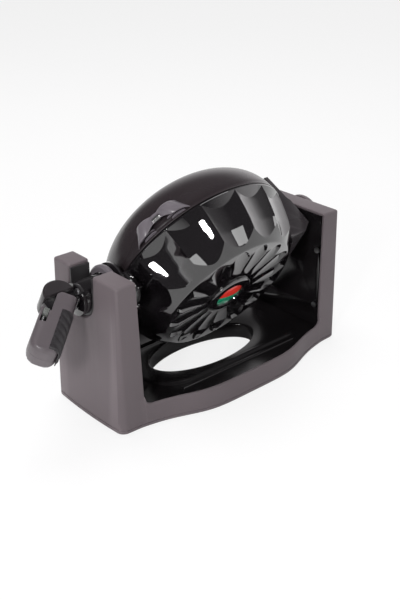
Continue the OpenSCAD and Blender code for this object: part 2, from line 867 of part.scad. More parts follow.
module lamp_holder() {
    z = fluted_height - 12.9;
    color("#e3ded2") at_iron() difference() {
        translate([0, 0, z]) cylinder(h = 3, r = hub_hole_r - 1.8 - fit_gap / 2);
        for (s = [-1, 1]) translate([0, s * 7.5, z - 1]) cylinder(h = 10, r = 2.6);
    }
}

module indicator_lamps() {
    z = fluted_height - 14;
    color("#f0c8a0") at_iron() for (s = [-1, 1]) translate([0, s * 7.5, z]) {
        cylinder(h = 8.5, r = 2.5);
        translate([0, 0, 8.5]) sphere(2.5);
    }
}

// ---------------------------------------------------------------- journal and handle

module handle_journal() {
    color("#151416") difference() {
        union() {
            on_axis(journal_out_x) cylinder(h = journal_in_x - journal_out_x, r = journal_r);
            on_axis(journal_in_x - 3.5) cylinder(h = 3.5, r = 24);
        }
        on_axis(journal_out_x - 1) cylinder(h = 60, r = journal_r - 5);
        at_iron() at_journal_screws() translate([0, 0, -10]) cylinder(h = 30, r = screw_r + 0.2);
        at_iron() at_arm_screws() cylinder(h = 12, r = screw_r + 0.05);
    }
}

// Screws that join the journal's flange to its bracket; local z runs along +x
module at_journal_screws() {
    for (y = [-1, 1]) translate([journal_in_x - iron_x - 3.5, y * 15, 14]) rotate([0, 90, 0]) children();
}

module journal_bracket() {
    x0 = journal_in_x - iron_x + fit_gap / 3;
    color("#151416") at_iron() difference() {
        union() {
            translate([x0, -20, 3]) cube([30, 40, 19]);
            translate([x0, 0, 3]) rotate([0, 90, 0]) intersection() {
                cylinder(h = 12, r = 24);
                translate([-40, -40, -1]) cube([40, 80, 30]);
            }
        }
        fluted_envelope(fit_gap);
        at_journal_screws() cylinder(h = 13, r = screw_r + 0.05);
        for (y = [-1, 1]) translate([-iron_r - 5, y * 11, 14]) rotate([0, 90, 0])
            cylinder(h = 20, r = screw_r + 0.05);
    }
}

module journal_screws() {
    color("#9a9a9a") at_iron() at_journal_screws() translate([0, 0, -2.05]) screw(11);
}

module thrust_collar() {
    x0 = -liner_x + 3;
    width = 6.5;
    color("#57525a") difference() {
        union() {
            on_axis(x0) cylinder(h = 1.5, r1 = collar_r - 1.5, r2 = collar_r);
            on_axis(x0 + 1.5) cylinder(h = width - 1.5, r = collar_r);
        }
        on_axis(x0 - 1) cylinder(h = 20, r = journal_r + fit_gap / 2);
    }
}

module at_arm_screws() {
    for (y = [-1, 1]) translate([journal_out_x - iron_x - 4, y * 13, 0]) rotate([0, 90, 0]) children();
}

module handle_arm() {
    flange_x = journal_out_x - iron_x;
    half = arm_thickness / 2;
    color("#1a181b") at_iron() difference() {
        union() {
            translate([flange_x - 4, 0, 0]) rotate([0, 90, 0]) cylinder(h = 4 - fit_gap / 3, r = journal_r);
            translate([flange_x - 4, 0, 0]) rotate([0, 90, 0])
                cylinder(h = 16, r = journal_r - 5 - fit_gap);
            translate([hub_x, -arm_width / 2, -half]) cube([flange_x - hub_x, arm_width, arm_thickness]);
            // rounded end beyond the fold pin
            intersection() {
                translate([hub_x, 0, -half]) cylinder(h = arm_thickness, r = arm_end_r);
                translate([hub_x - 50, -arm_width / 2, -half]) cube([50, arm_width, arm_thickness]);
            }
        }
        translate([hub_x, 0, 0]) rotate([90, 0, 0]) cylinder(h = 60, r = fold_pin_r + 0.02, center = true);
        translate([0, 0, 0]) at_arm_screws() translate([0, 0, -1]) cylinder(h = 30, r = screw_r + 0.2);
    }
}

module arm_screws() {
    color("#9a9a9a") at_iron() at_arm_screws() translate([0, 0, -2.05]) screw(12);
}

module handle_cap() {
    half = grip_thickness / 2;
    color("#4a484b") at_iron() intersection() {
        translate([hub_x, 0, cap_z]) rotate([90, 0, 0]) union() {
            cylinder(h = 2 * half - 4, r = cap_r, center = true);
            for (s = [0, 1]) mirror([0, 0, s]) translate([0, 0, half - 2])
                cylinder(h = 2, r1 = cap_r, r2 = cap_r - 1.6);
        }
        translate([hub_x - 40, -40, -40 - arm_thickness / 2 - 0.05]) cube([80, 80, 40]);
    }
}

module fold_pin() {
    color("#b9b9b9") at_iron() translate([hub_x, 0, 0]) rotate([90, 0, 0])
        cylinder(h = grip_thickness - 1.6, r = fold_pin_r, center = true);
}

// ---------------------------------------------------------------- hinge and trunnion

// Side view of one ear with its fin, in x and z
module ear_outline() {
    fin_base = 14;
    end_x = block_end_x - iron_x;
    translate([hinge_x, hinge_z]) circle(hinge_eye_r);
    polygon([
        [hinge_x - hinge_eye_r + 0.4, hinge_z], [hinge_x - 2.5, 3], [end_x, 3],
        [end_x, -9], [end_x - 2, -13], [end_x - 4.2, fin_tip_z], [end_x - 9.5, fin_tip_z],
        [end_x - 12.5, -fin_base], [hinge_x + hinge_eye_r, hinge_z - 1]
    ]);
}

module hinge_bracket() {
    start = block_start_x;
    end_x = block_end_x - iron_x;
    color("#2b282b") at_iron() difference() {
        union() {
            // block with a bevelled outer corner
            across_y(hinge_half_width) polygon([
                [start, 1.2], [end_x, 1.2], [end_x, block_height - 9],
                [end_x - 13, block_height], [start, block_height]
            ]);
            for (s = [-1, 1]) translate([0, s * (hinge_half_width - fin_wall / 2), 0])
                across_y(fin_wall / 2) ear_outline();
            for (s = [-1, 1]) translate([0, s * (hinge_half_width + lug_half_width + free_gap) / 2, 0])
                across_y((hinge_half_width - lug_half_width - free_gap) / 2) intersection() {
                    ear_outline();
                    translate([hinge_x - 20, hinge_z - hinge_eye_r]) square([60, 40]);
                }
        }
        fluted_envelope(fit_gap);
        translate([hinge_x, 0, hinge_z]) rotate([90, 0, 0])
            cylinder(h = 100, r = hinge_pin_r + 0.02, center = true);
        // lead passage from the trunnion into the fluted half
        translate([start - 5, 0, 16]) rotate([0, 90, 0]) cylinder(h = 26, r = trunnion_bore_r);
        translate([hinge_x + 3, 0, 8]) cylinder(h = 12, r = trunnion_bore_r);
        on_local_axis(hinge_x) cylinder(h = 40, r = trunnion_r + fit_gap / 2);
        at_trunnion_screws() cylinder(h = 9, r = screw_r + 0.05);
        for (y = [-1, 1]) translate([iron_r - 20, y * 20, 16]) rotate([0, 90, 0])
            cylinder(h = 30, r = screw_r + 0.05);
    }
}

// A point on the turning axis in the iron's own frame, local z along +x
module on_local_axis(x) {
    translate([x, 0, 0]) rotate([0, 90, 0]) children();
}

// Screws of the trunnion flange, in the half of it that meets the block
module at_trunnion_screws() {
    for (y = [-1, 1]) translate([block_end_x - iron_x, y * 11.5, 7]) rotate([0, -90, 0]) children();
}

module hinge_pin() {
    color("#c4c4c4") at_iron() translate([hinge_x, 0, hinge_z]) rotate([90, 0, 0])
        cylinder(h = 2 * hinge_half_width - 0.6, r = hinge_pin_r, center = true);
}

module trunnion() {
    start = hinge_x + 5;
    color("#b5b5b3") at_iron() translate([-iron_x, 0, 0]) difference() {
        union() {
            translate([iron_x, 0, 0]) on_local_axis(start) cylinder(h = block_end_x - iron_x - start, r = trunnion_r);
            on_local_axis(block_end_x - 1) cylinder(h = trunnion_end_x - block_end_x + 1, r = trunnion_r);
            on_local_axis(block_end_x + fit_gap / 3) cylinder(h = flange_width, r = 17);
        }
        on_local_axis(block_end_x - 30) cylinder(h = 80, r = trunnion_bore_r);
        // groove of the retaining ring
        difference() {
            on_local_axis(ring_x) cylinder(h = ring_width, r = trunnion_r + 2);
            on_local_axis(ring_x - 1) cylinder(h = ring_width + 2, r = trunnion_r - 1.2);
        }
        translate([iron_x, 0, 0]) at_trunnion_screws() translate([0, 0, -10])
            cylinder(h = 20, r = screw_r + 0.2);
    }
}

module trunnion_screws() {
    color("#9a9a9a") at_iron() at_trunnion_screws() translate([0, 0, -flange_width - fit_gap / 3 - 0.05]) {
        cylinder(h = 9, r = screw_r);
        translate([0, 0, -0.8]) cylinder(h = 0.8, r = screw_head_r);
    }
}

module retaining_ring() {
    color("#8f8f8f") difference() {
        on_axis(ring_x + 0.1) cylinder(h = ring_width - 0.2, r = trunnion_r + 4);
        on_axis(ring_x - 1) cylinder(h = 10, r = trunnion_r - 1.2 + 0.05);
    }
}

// ---------------------------------------------------------------- smooth half

// Outer profile of the dome below the joint: a blunt superellipse
function dome_point(t, r, depth) = [r * pow(cos(t), 0.9), -depth * pow(sin(t), 0.9)];

module dome_solid(r, depth, top) {
    rotate_extrude() polygon(concat(
        [[0, top], [r, top]],
        [for (i = [1:23]) dome_point(i * 90 / 24, r, depth)],
        [[0, -depth]]
    ));
}

module smooth_shell() {
    ledge_z = -plate_back_z - fit_gap / 2;
    color("#453d41") at_iron() difference() {
        dome_solid(iron_r, dome_depth, -joint_z);
        // plate pocket, the ledge the plate sits on, and the space behind it
        translate([0, 0, ledge_z]) cylinder(h = 20, r = plate_pocket_r);
        translate([0, 0, ledge_z - ledge_height - 1]) cylinder(h = 20, r = ledge_inner_r);
        dome_solid_inside();
        // window of the hinge lug
        translate([window_x, -lug_half_width - fit_gap, -18])
            cube([20, 2 * lug_half_width + 2 * fit_gap, 20]);
        // ears of the catch pin turn in these slots
        rotate([0, 0, catch_angle]) translate([iron_r - 2, -hook_width / 2 - 1, -4])
            cube([10, hook_width + 2, 6]);
    }
    color("#453d41") at_catch() catch_ears();
}

// Hollow behind the plate ledge of the dome
module dome_solid_inside() {
    z = -plate_back_z - ledge_height;
    intersection() {
        dome_solid(iron_r - dome_wall, dome_depth - dome_wall, 0);
        translate([0, 0, z - 100]) cylinder(h = 100, r1 = iron_r + 40, r2 = ledge_inner_r);
    }
}

// Two small ears on the dome that hold the catch pin
module catch_ears() {
    root = 2;
    for (s = [-1, 1]) translate([0, s * 5.2, 0]) difference() {
        across_y(1.2) polygon([
            [iron_r - root, catch_pin_z - 3], [catch_pin_x + 2.2, catch_pin_z - 2.4],
            [catch_pin_x + 2.2, catch_pin_z + 2.4], [iron_r - root, catch_pin_z + 4]
        ]);
        translate([catch_pin_x, 0, catch_pin_z]) rotate([90, 0, 0])
            cylinder(h = 10, r = catch_pin_r + 0.02, center = true);
    }
}

module smooth_plate() {
    color("#3a3a3c") at_iron() mirror([0, 0, 1]) baking_plate();
}

module smooth_heater() {
    color("#8d8379") at_iron() mirror([0, 0, 1]) heating_element();
}

module smooth_reflector() {
    color("#c9c9c6") at_iron() mirror([0, 0, 1]) reflector();
}

module smooth_plate_screws() {
    color("#9a9a9a") at_iron() mirror([0, 0, 1]) plate_screw_set();
}

module thermal_fuse() {
    z = -plate_back_z - 2.6 - 0.05;
    color("#e8e4da") at_iron() translate([-9, 0, z]) rotate([0, 90, 0]) {
        cylinder(h = 18, r = 2.6);
        translate([0, 0, -10]) cylinder(h = 38, r = 0.8);
    }
}

module hinge_lug() {
    color("#2b282b") at_iron() difference() {
        union() {
            across_y(lug_half_width) union() {
                translate([hinge_x, hinge_z]) circle(hinge_eye_r);
                polygon([
                    [lug_end_x, -10.5 - plate_thickness / 7], [hinge_x, hinge_z - hinge_eye_r],
                    [hinge_x + 1, hinge_z + 3], [hinge_x - 4, hinge_z + hinge_eye_r], [lug_end_x, -3]
                ]);
            }
        }
        translate([hinge_x, 0, hinge_z]) rotate([90, 0, 0])
            cylinder(h = 60, r = hinge_pin_r + run_gap, center = true);
    }
}

module catch_pin() {
    color("#c4c4c4") at_catch() translate([catch_pin_x, 0, catch_pin_z]) rotate([90, 0, 0])
        cylinder(h = 24, r = catch_pin_r, center = true);
}

module catch_spring() {
    wire = 0.5;
    coil_r = catch_pin_r + wire + 0.1;
    color("#b0b0b0") at_catch() translate([catch_pin_x, 0, catch_pin_z]) rotate([90, 0, 0])
        for (k = [-3:3]) translate([0, 0, k * 1.05]) rotate_extrude()
            translate([coil_r, 0]) circle(wire);
}

// ---------------------------------------------------------------- lid catch

// One finger lobe: a round hood, open towards the joint
module lobe_hood(r, z_low, z_high) {
    top_r = r - 5;
    rotate_extrude() polygon([
        [0, z_low], [top_r, z_low], [r - 1.6, z_low + 2.6], [r, z_low + 7], [r, z_high], [0, z_high]
    ]);
}

module at_lobes() {
    for (s = [-1, 1]) rotate([0, 0, s * catch_lobe_turn]) translate([catch_lobe_x, 0, 0]) children();
}

module lid_catch() {
    low = -catch_height;
    high = -joint_z - 0.4;
    color("#3b373a") at_catch() difference() {
        union() {
            difference() {
                at_lobes() lobe_hood(catch_lobe_r, low, high);
                at_lobes() lobe_hood(catch_lobe_r - catch_lobe_wall, low + catch_lobe_wall, high + 5);
            }
            // knuckle blocks on the pin, either side of the ears
            for (s = [-1, 1]) translate([0, s * 9.3, 0]) across_y(2.4) translate([catch_pin_x, catch_pin_z])
                circle(3);
            // hook over the rim of the fluted half
            translate([catch_skin_r, -hook_width / 2, low + 8]) cube([2, hook_width, 12.5]);
            translate([catch_skin_r - 2.6, -hook_width / 2, 2.2]) cube([3, hook_width, 2.3]);
        }
        difference() {
            translate([0, 0, low - 5]) cylinder(h = 5 - low + 1.5, r = catch_skin_r);
        }
        translate([catch_pin_x, 0, catch_pin_z]) rotate([90, 0, 0])
            cylinder(h = 60, r = catch_pin_r + run_gap, center = true);
        // room for the ears and the spring
        translate([catch_skin_r - 5, -6.8, catch_pin_z - 5]) cube([9.5, 13.6, 10.5]);
    }
}

// ---------------------------------------------------------------- grip

// Points of an arc round (x, y), from angle a0 to a1
function arc(x, y, r, a0, a1, steps = 6) =
    [for (i = [0:steps]) let (a = a0 + (a1 - a0) * i / steps) [x + r * cos(a), y + r * sin(a)]];

// Side view of the grip in x and z: round tip, cut back at its root to clear the cap
function grip_outline() =
    let (w = grip_width / 2, tip = grip_tip_r, end = grip_length)
    concat(
        [[-root_top, -w + 4], [-root_top + 3, -w]],
        arc(end - tip, -w + tip, tip, -90, 0),
        arc(end - tip, w - tip, tip, 0, 90),
        arc(0, 0, cap_clear_r, asin(w / cap_clear_r), asin(root_top / cap_clear_r)),
        arc(0, 0, root_top, 90, 180)
    );

// Side view of the hollow inside the grip
function hollow_outline(start) =
    let (w = grip_width / 2 - grip_wall, tip = grip_tip_r - grip_wall, end = grip_length - grip_wall)
    concat(
        [[start, w], [start, -w]],
        arc(end - tip, -w + tip, tip, -90, 0),
        arc(end - tip, w - tip, tip, 0, 90)
    );

// Cross-section of the grip, in y and z
function section(half_y, half_z, r) = concat(
    arc(half_y - r, half_z - r, r, 0, 90, 5), arc(r - half_y, half_z - r, r, 90, 180, 5),
    arc(r - half_y, r - half_z, r, 180, 270, 5), arc(half_y - r, r - half_z, r, 270, 360, 5)
);

// A solid with a given side view and cross-section
module formed(outline, cross, half) {
    intersection() {
        across_y(half + 1) polygon(outline);
        translate([-20, 0, 0]) rotate([90, 0, 90]) linear_extrude(grip_length + 40) polygon(cross);
    }
}

module at_grip_screws() {
    for (x = [38, 56]) translate([x, 0, 0]) rotate([90, 0, 0]) children();
}

// Hollow grip before it is split into its two shells
module grip_body() {
    half_y = grip_thickness / 2;
    half_z = grip_width / 2;
    fork = arm_width + 2 * free_gap;
    difference() {
        formed(grip_outline(), section(half_y, half_z, grip_edge_r), half_y);
        difference() {
            formed(hollow_outline(cap_clear_r + grip_wall),
                section(half_y - grip_wall, half_z - grip_wall, grip_edge_r - 2), half_y);
            at_grip_screws() cylinder(h = 60, r = 4, center = true);
        }
        // fork slot around the arm
        rotate([90, 0, 0]) cylinder(h = fork, r = root_clear_r, center = true);
        rotate([90, 0, 0]) cylinder(h = 60, r = fold_pin_r + run_gap, center = true);
        at_grip_screws() cylinder(h = 60, r = screw_r + 0.05, center = true);
    }
}

module grip_upper_shell() {
    window = lock_length + lock_travel + 1.5;
    low = lock_z - lock_width / 2;
    color("#5d565b") at_grip() difference() {
        intersection() {
            grip_body();
            translate([-50, fit_gap / 3, -50]) cube([200, 100, 100]);
        }
        translate([lock_x - lock_length / 2 - 0.75, 5, low - 0.4])
            cube([window, 20, lock_width + 0.8]);
        // pocket in which the foot of the slider moves
        translate([lock_x - lock_length / 2 + 1, 4.9, low - 2]) cube([window, 6.5, lock_width + 1.6]);
    }
}

module grip_lower_shell() {
    color("#5d565b") at_grip() difference() {
        intersection() {
            grip_body();
            translate([-50, -100 - fit_gap / 3, -50]) cube([200, 100, 100]);
        }
        at_grip_screws() translate([0, 0, grip_thickness / 2 - 2.2]) cylinder(h = 10, r = screw_head_r + 0.2);
    }
}

module grip_screws() {
    color("#9a9a9a") at_grip() at_grip_screws() translate([0, 0, grip_thickness / 2 - 0.2])
        mirror([0, 0, 1]) screw(20);
}

module grip_rib_pad() {
    z = -grip_width / 2 - 0.05;
    color("#232123") at_grip() difference() {
        translate([pad_start, -pad_half_width, z - 2.4])
            cube([pad_end - pad_start, 2 * pad_half_width, 2.4]);
        for (x = [pad_start + rib_pitch:rib_pitch:pad_end - 2])
            translate([x, 0, z - 2.4]) rotate([90, 0, 0])
                cylinder(h = 60, r = 1.3, center = true);
    }
}

module lock_spring() {
    wire = 0.45;
    coil_r = 1.9;
    start = lock_x + lock_length / 2 + 0.4;
    turns = 6;
    color("#b0b0b0") at_grip() translate([start, 7.5, lock_z]) rotate([0, 90, 0])
        for (k = [0:turns - 1]) translate([0, 0, wire + k * 1.3]) rotate_extrude()
            translate([coil_r, 0]) circle(wire);
}

module fold_lock() {
    top = grip_thickness / 2 - 0.9;
    start = lock_x - lock_length / 2;
    low = lock_z - lock_width / 2;
    color("#a9aba8") at_grip() {
        translate([start, 5.5, low]) cube([lock_length, top - 5.5, lock_width]);
        // foot that keeps the slider under its window
        translate([start + 1.5, 5.2, low - 1.5]) cube([lock_length - 1.5, 2, lock_width + 1]);
        for (k = [-1:1]) translate([lock_x + k * 2.2, top, low + 0.4]) cylinder(h = lock_width - 0.8, r = 0.5);
    }
}

// ---------------------------------------------------------------- assembly

stand_shell();
base_deck();
bottom_cover();
rubber_feet();
base_screws();
left_post_liner();
right_post_liner();
liner_screws();
journal_saddle();
trunnion_bush();
pivot_cap();
strain_relief();
fluted_shell();
fluted_plate();
fluted_heater();
fluted_reflector();
fluted_plate_screws();
thermostat();
indicator_bezel();
red_lens();
green_lens();
lamp_holder();
indicator_lamps();
handle_journal();
journal_bracket();
journal_screws();
thrust_collar();
handle_arm();
arm_screws();
handle_cap();
fold_pin();
hinge_bracket();
hinge_pin();
trunnion();
trunnion_screws();
retaining_ring();
smooth_shell();
smooth_plate();
smooth_heater();
smooth_reflector();
smooth_plate_screws();
thermal_fuse();
hinge_lug();
catch_pin();
catch_spring();
lid_catch();
grip_upper_shell();
grip_lower_shell();
grip_screws();
grip_rib_pad();
lock_spring();
fold_lock();
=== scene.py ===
# %% [markdown]
# # A rotating waffle cone maker
# The real machine is a round hinged iron that hangs between the two posts of a low
# stand and turns over on a horizontal axis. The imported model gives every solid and
# every joint at its true size. This script puts the skin on it: the moulded stand, the
# pan, the fluted half, the smooth dome, the catch, the grip and the finishes.

import json
import math

import bmesh
import bpy
from mathutils import Matrix, Vector


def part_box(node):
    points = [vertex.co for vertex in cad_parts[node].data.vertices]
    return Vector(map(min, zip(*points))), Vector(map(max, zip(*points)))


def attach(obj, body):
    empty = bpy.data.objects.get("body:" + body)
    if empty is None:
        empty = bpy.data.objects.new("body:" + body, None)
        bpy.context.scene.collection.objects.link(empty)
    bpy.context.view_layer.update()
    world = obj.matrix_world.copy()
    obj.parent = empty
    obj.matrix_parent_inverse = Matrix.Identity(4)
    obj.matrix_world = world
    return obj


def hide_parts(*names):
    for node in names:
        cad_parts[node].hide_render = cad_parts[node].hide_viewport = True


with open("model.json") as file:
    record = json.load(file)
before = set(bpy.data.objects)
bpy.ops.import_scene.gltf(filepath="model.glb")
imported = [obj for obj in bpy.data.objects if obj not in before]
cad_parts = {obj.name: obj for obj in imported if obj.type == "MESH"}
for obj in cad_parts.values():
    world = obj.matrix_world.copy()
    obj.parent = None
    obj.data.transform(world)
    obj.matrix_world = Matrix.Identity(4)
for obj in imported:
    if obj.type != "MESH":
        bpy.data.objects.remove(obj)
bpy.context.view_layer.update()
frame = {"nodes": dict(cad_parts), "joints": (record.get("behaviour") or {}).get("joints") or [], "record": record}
record = frame["record"]
joints = {joint["name"]: joint for joint in frame["joints"]}
print("nodes:", len(frame["nodes"]), "joints:", sorted(joints))

# %% [markdown]
# ## Where things are
# A piece is easiest to draw in millimetres in a frame of its own. The stand's frame
# stands on the table under the middle of the stand. The iron's frame lies in the joint
# plane, with z out of the fluted half and x to the lid hinge; the dome and the catch
# use it too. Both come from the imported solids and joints, so a changed part still fits.

# %% Frames
MM = 0.001
IRON_SHIFT = -3.6 * MM  # from the joint's own point on the axis to the iron's middle

stand_low, stand_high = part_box("stand_shell")
STAND_X = (stand_low.x + stand_high.x) / 2
STAND_Y = (stand_low.y + stand_high.y) / 2
STAND_HEIGHT = stand_high.z / MM

axis_point = Vector(joints["iron_flip"]["pos_m"])
joint_plane_up = -Vector(joints["lid_open"]["axis"])
along = Vector((1, 0, 0))
flute_side = along.cross(joint_plane_up)
iron_centre = axis_point + IRON_SHIFT * along
iron_axes = Matrix((along, joint_plane_up, flute_side)).transposed().to_4x4()

STAND = Matrix.Translation((STAND_X, STAND_Y, 0))
IRON = Matrix.Translation(iron_centre) @ iron_axes
print("stand", round(STAND_HEIGHT, 1), "mm high")
print("iron centre", [round(c, 4) for c in iron_centre], "m")

# %% [markdown]
# ## Shader arithmetic
# A finish is easier to read as a sum than as a heap of nodes. `Wire` wraps a socket, so
# `1 - mask * 0.3` adds its own Math nodes, and Vector Math nodes where a colour is in
# the sum. Every other node comes from `Graph.node`.

# %% Wire
class Wire:
    """A shader value that can be used in ordinary arithmetic, a number or a colour."""

    def __init__(self, graph, node, output=0):
        self.graph = graph
        self.node = node
        self.socket = node.outputs[output] if len(node.outputs) else None

    def _math(self, operation, first, second):
        ends = [end.socket.type if isinstance(end, Wire) else "VALUE" for end in (first, second)]
        kind = "ShaderNodeMath"
        if "RGBA" in ends or "VECTOR" in ends:
            kind = "ShaderNodeVectorMath"
            first, second = (self._spread(end) for end in (first, second))
        return self.graph.node(kind, {"operation": operation}, {0: first, 1: second})

    @staticmethod
    def _spread(end):
        return (end, end, end) if isinstance(end, (int, float)) else end

    def __add__(self, other):
        return self._math("ADD", self, other)

    def __radd__(self, other):
        return self._math("ADD", other, self)

    def __sub__(self, other):
        return self._math("SUBTRACT", self, other)

    def __rsub__(self, other):
        return self._math("SUBTRACT", other, self)

    def __mul__(self, other):
        return self._math("MULTIPLY", self, other)

    def __rmul__(self, other):
        return self._math("MULTIPLY", other, self)


# %% Graph
MIX_FACTOR, MIX_FIRST, MIX_SECOND, MIX_RESULT = 0, 6, 7, 2  # a Mix node's colour sockets


class Graph:
    """A node tree that is filled by one method."""

    def __init__(self, tree):
        self.tree = tree
        tree.nodes.clear()

    def plug(self, socket, value):
        if isinstance(value, Wire):
            self.tree.links.new(value.socket, socket)
        elif value is not None:
            socket.default_value = value

    def node(self, kind, settings=None, sockets=None, output=0):
        """A node of any kind: its settings first, then the values or wires of its sockets."""
        made = self.tree.nodes.new(kind)
        for name, value in (settings or {}).items():
            if name == "stops":
                ramp = made.color_ramp.elements
                while len(ramp) < len(value):
                    ramp.new(1.0)
                for stop, (position, shade) in zip(ramp, value):
                    stop.position = position
                    stop.color = (shade, shade, shade, 1)
            else:
                setattr(made, name, value)
        for name, value in (sockets or {}).items():
            self.plug(made.inputs[name], value)
        return Wire(self, made, output)

    def ramp(self, value, low, high):
        """0 below low and 1 above high."""
        return self.node("ShaderNodeValToRGB", {"stops": [(low, 0), (high, 1)]}, {"Fac": value})

    def mixed(self, factor, first, second):
        """A blend of two colours, each written out or a wire."""
        ends = [end if isinstance(end, Wire) else (*end, 1) for end in (first, second)]
        sockets = {MIX_FACTOR: factor, MIX_FIRST: ends[0], MIX_SECOND: ends[1]}
        return self.node("ShaderNodeMix", {"data_type": "RGBA"}, sockets, MIX_RESULT)


# %% Finish
def spaced(named):
    """Socket names as Blender writes them, from names that Python allows."""
    return {name.replace("_", " "): value for name, value in named.items()}


class Finish(Graph):
    """One material: its surface shader and the nodes that feed it."""

    def __init__(self, name, **constants):
        self.material = bpy.data.materials.new(name)
        self.material.use_nodes = True
        super().__init__(self.material.node_tree)
        self.surface = self.node("ShaderNodeBsdfPrincipled", None, spaced(constants))
        self.output = self.node("ShaderNodeOutputMaterial", None, {"Surface": self.surface})
        self.place = self.node("ShaderNodeTexCoord", output="Object")

    def noise(self, scale, detail=3, stretch=(1, 1, 1)):
        """Soft random blotches; scale is in blotches per metre."""
        where = self.place
        if stretch != (1, 1, 1):
            where = self.node("ShaderNodeMapping", None, {"Vector": self.place, "Scale": stretch})
        sockets = {"Vector": where, "Scale": scale, "Detail": detail}
        return self.node("ShaderNodeTexNoise", None, sockets)

    def edges(self, low=0.52, high=0.6):
        """A mask of sharp edges, where handling wears a surface; the mouldings also paint a highlight with it."""
        return self.ramp(self.node("ShaderNodeNewGeometry", output="Pointiness"), low, high)

    def set(self, **varying):
        for name, value in spaced(varying).items():
            self.plug(self.surface.node.inputs[name], value)

    def bump(self, height, strength, distance):
        sockets = {"Height": height, "Strength": strength, "Distance": distance}
        self.set(Normal=self.node("ShaderNodeBump", None, sockets))


def shaded(colour, factor):
    """A colour made darker or lighter."""
    return tuple(min(1.0, channel * factor) for channel in colour)


# %% [markdown]
# ## Moulded plastics
# The stand is a matt-lacquered moulding with the faint spark-eroded grain of its tool.
# The pan and the liners are the same plastic in black. Corners turn a little lighter and
# smoother: partly the wear of handling, partly a painted highlight along the edges. A
# painted texture could show all this, but noise in the object's own space needs no
# unwrapping and is as sharp up close. The iron itself is piano black: almost no grain,
# only the slow waviness that makes a long reflection shiver, under a clear coat.

# %% Plastic finishes
def moulded(name, colour, roughness, grain=1400, depth=0.12, edge_wear_and_highlight=1.5, specular=0.5):
    """A textured moulding: fine grain, slow tone changes, and edges made lighter by wear and a painted highlight.
    """
    made = Finish(name, Specular_IOR_Level=specular)
    tone = made.noise(9, 2)
    # The edges turn lighter: the wear of handling plus a painted highlight along them.
    edge_mask = made.edges()
    worn = made.mixed(tone, shaded(colour, 0.88), shaded(colour, 1.12))
    base = made.mixed(edge_mask * 0.5, worn, shaded(colour, edge_wear_and_highlight))
    fine = made.noise(grain, 2)
    made.set(Base_Color=base, Roughness=roughness + (tone - 0.5) * 0.12 - edge_mask * 0.08)
    made.bump(fine, depth, 0.0004)
    return made.material


def piano_black(name, colour, roughness=0.03):
    """Lacquered plastic, polished to a dark mirror, with the odd dull patch of handling."""
    made = Finish(name, IOR=1.62, Coat_Roughness=0.02, Coat_IOR=1.6)
    touched = made.ramp(made.noise(26, 4), 0.58, 0.8)
    made.set(
        Base_Color=made.mixed(touched, colour, shaded(colour, 1.5)),
        Roughness=roughness + touched * 0.03,
        Coat_Weight=0.7 - touched * 0.25,
    )
    made.bump(made.noise(34, 1), 0.035, 0.002)
    return made.material


# %% [markdown]
# ## Metals, lamps and the rest
# Screws and pins are plated steel with turning marks. The baking plates have a dark
# non-stick coat with a fine orange peel and bare specks on the grid's edges. The lenses
# have a faint painted glow, for the light from the room that enters them and comes back
# coloured. Each family gets one function, so that two metals differ only in the numbers
# that they pass.

# %% Metal finishes
def drawn_metal(name, colour, roughness, stretch=(1, 1, 14)):
    """Bright metal with drawing marks along one direction."""
    made = Finish(name, Metallic=1.0)
    marks = made.noise(900, 2, stretch)
    dull = made.noise(60, 3)
    made.set(
        Base_Color=made.mixed(dull, shaded(colour, 0.8), shaded(colour, 1.1)),
        Roughness=roughness + marks * 0.18,
    )
    made.bump(marks, 0.08, 0.0002)
    return made.material


def nonstick(name, colour):
    """A sprayed and baked coat, rubbed bare on the edges of the grid."""
    made = Finish(name)
    edge_mask = made.edges(0.54, 0.66)
    speck = made.ramp(made.noise(2200, 2), 0.62, 0.7)
    made.set(
        Base_Color=made.mixed(speck, colour, shaded(colour, 2.2)),
        Metallic=edge_mask * 0.6,
        Roughness=0.42 - edge_mask * 0.15 + speck * 0.1,
    )
    made.bump(made.noise(1100, 3), 0.2, 0.0003)
    return made.material


# %% Small-part finishes
RIBS_PER_METRE = 160.0


def lamp_cover(name, colour):
    """A clear coloured cap with moulded ribs behind its face."""
    # The emission is a painted glow, for room light that comes back out of the lens.
    made = Finish(name, IOR=1.49, Coat_Roughness=0.03, Emission_Strength=0.35)
    ribs = made.node(
        "ShaderNodeTexWave",
        {"wave_type": "BANDS", "bands_direction": "X"},
        {"Vector": made.place, "Scale": RIBS_PER_METRE, "Distortion": 0.0},
    )
    body = made.mixed(ribs, shaded(colour, 0.75), colour)
    made.set(
        Base_Color=body,
        Emission_Color=body,
        Roughness=0.12 + made.noise(300) * 0.05,
        Coat_Weight=0.6 - made.noise(40) * 0.2,
    )
    made.bump(ribs, 0.08, 0.0003)
    return made.material


def soft_rubber(name, colour):
    """Matt rubber with a dusty bloom."""
    made = Finish(name, Specular_IOR_Level=0.3)
    bloom = made.noise(35, 4)
    made.set(
        Base_Color=made.mixed(bloom, colour, shaded(colour, 2.4)), Roughness=0.72 + bloom * 0.15
    )
    made.bump(made.noise(1600, 2), 0.2, 0.0003)
    return made.material


def fired_ceramic(name, colour):
    """Unglazed insulating ceramic, a little dirty from handling."""
    made = Finish(name)
    dirt = made.ramp(made.noise(180, 4), 0.45, 0.8)
    made.set(
        Base_Color=made.mixed(dirt, colour, shaded(colour, 0.6)), Roughness=0.6 + dirt * 0.2
    )
    made.bump(made.noise(2400, 3), 0.25, 0.0002)
    return made.material


def clear_glass(name):
    """Thin lamp glass with a warm tint."""
    made = Finish(name, Transmission_Weight=0.9, IOR=1.45)
    smoke = made.noise(220, 2)
    made.set(
        Base_Color=made.mixed(smoke, (0.95, 0.85, 0.7), (0.85, 0.65, 0.5)),
        Roughness=0.05 + smoke * 0.05,
    )
    return made.material


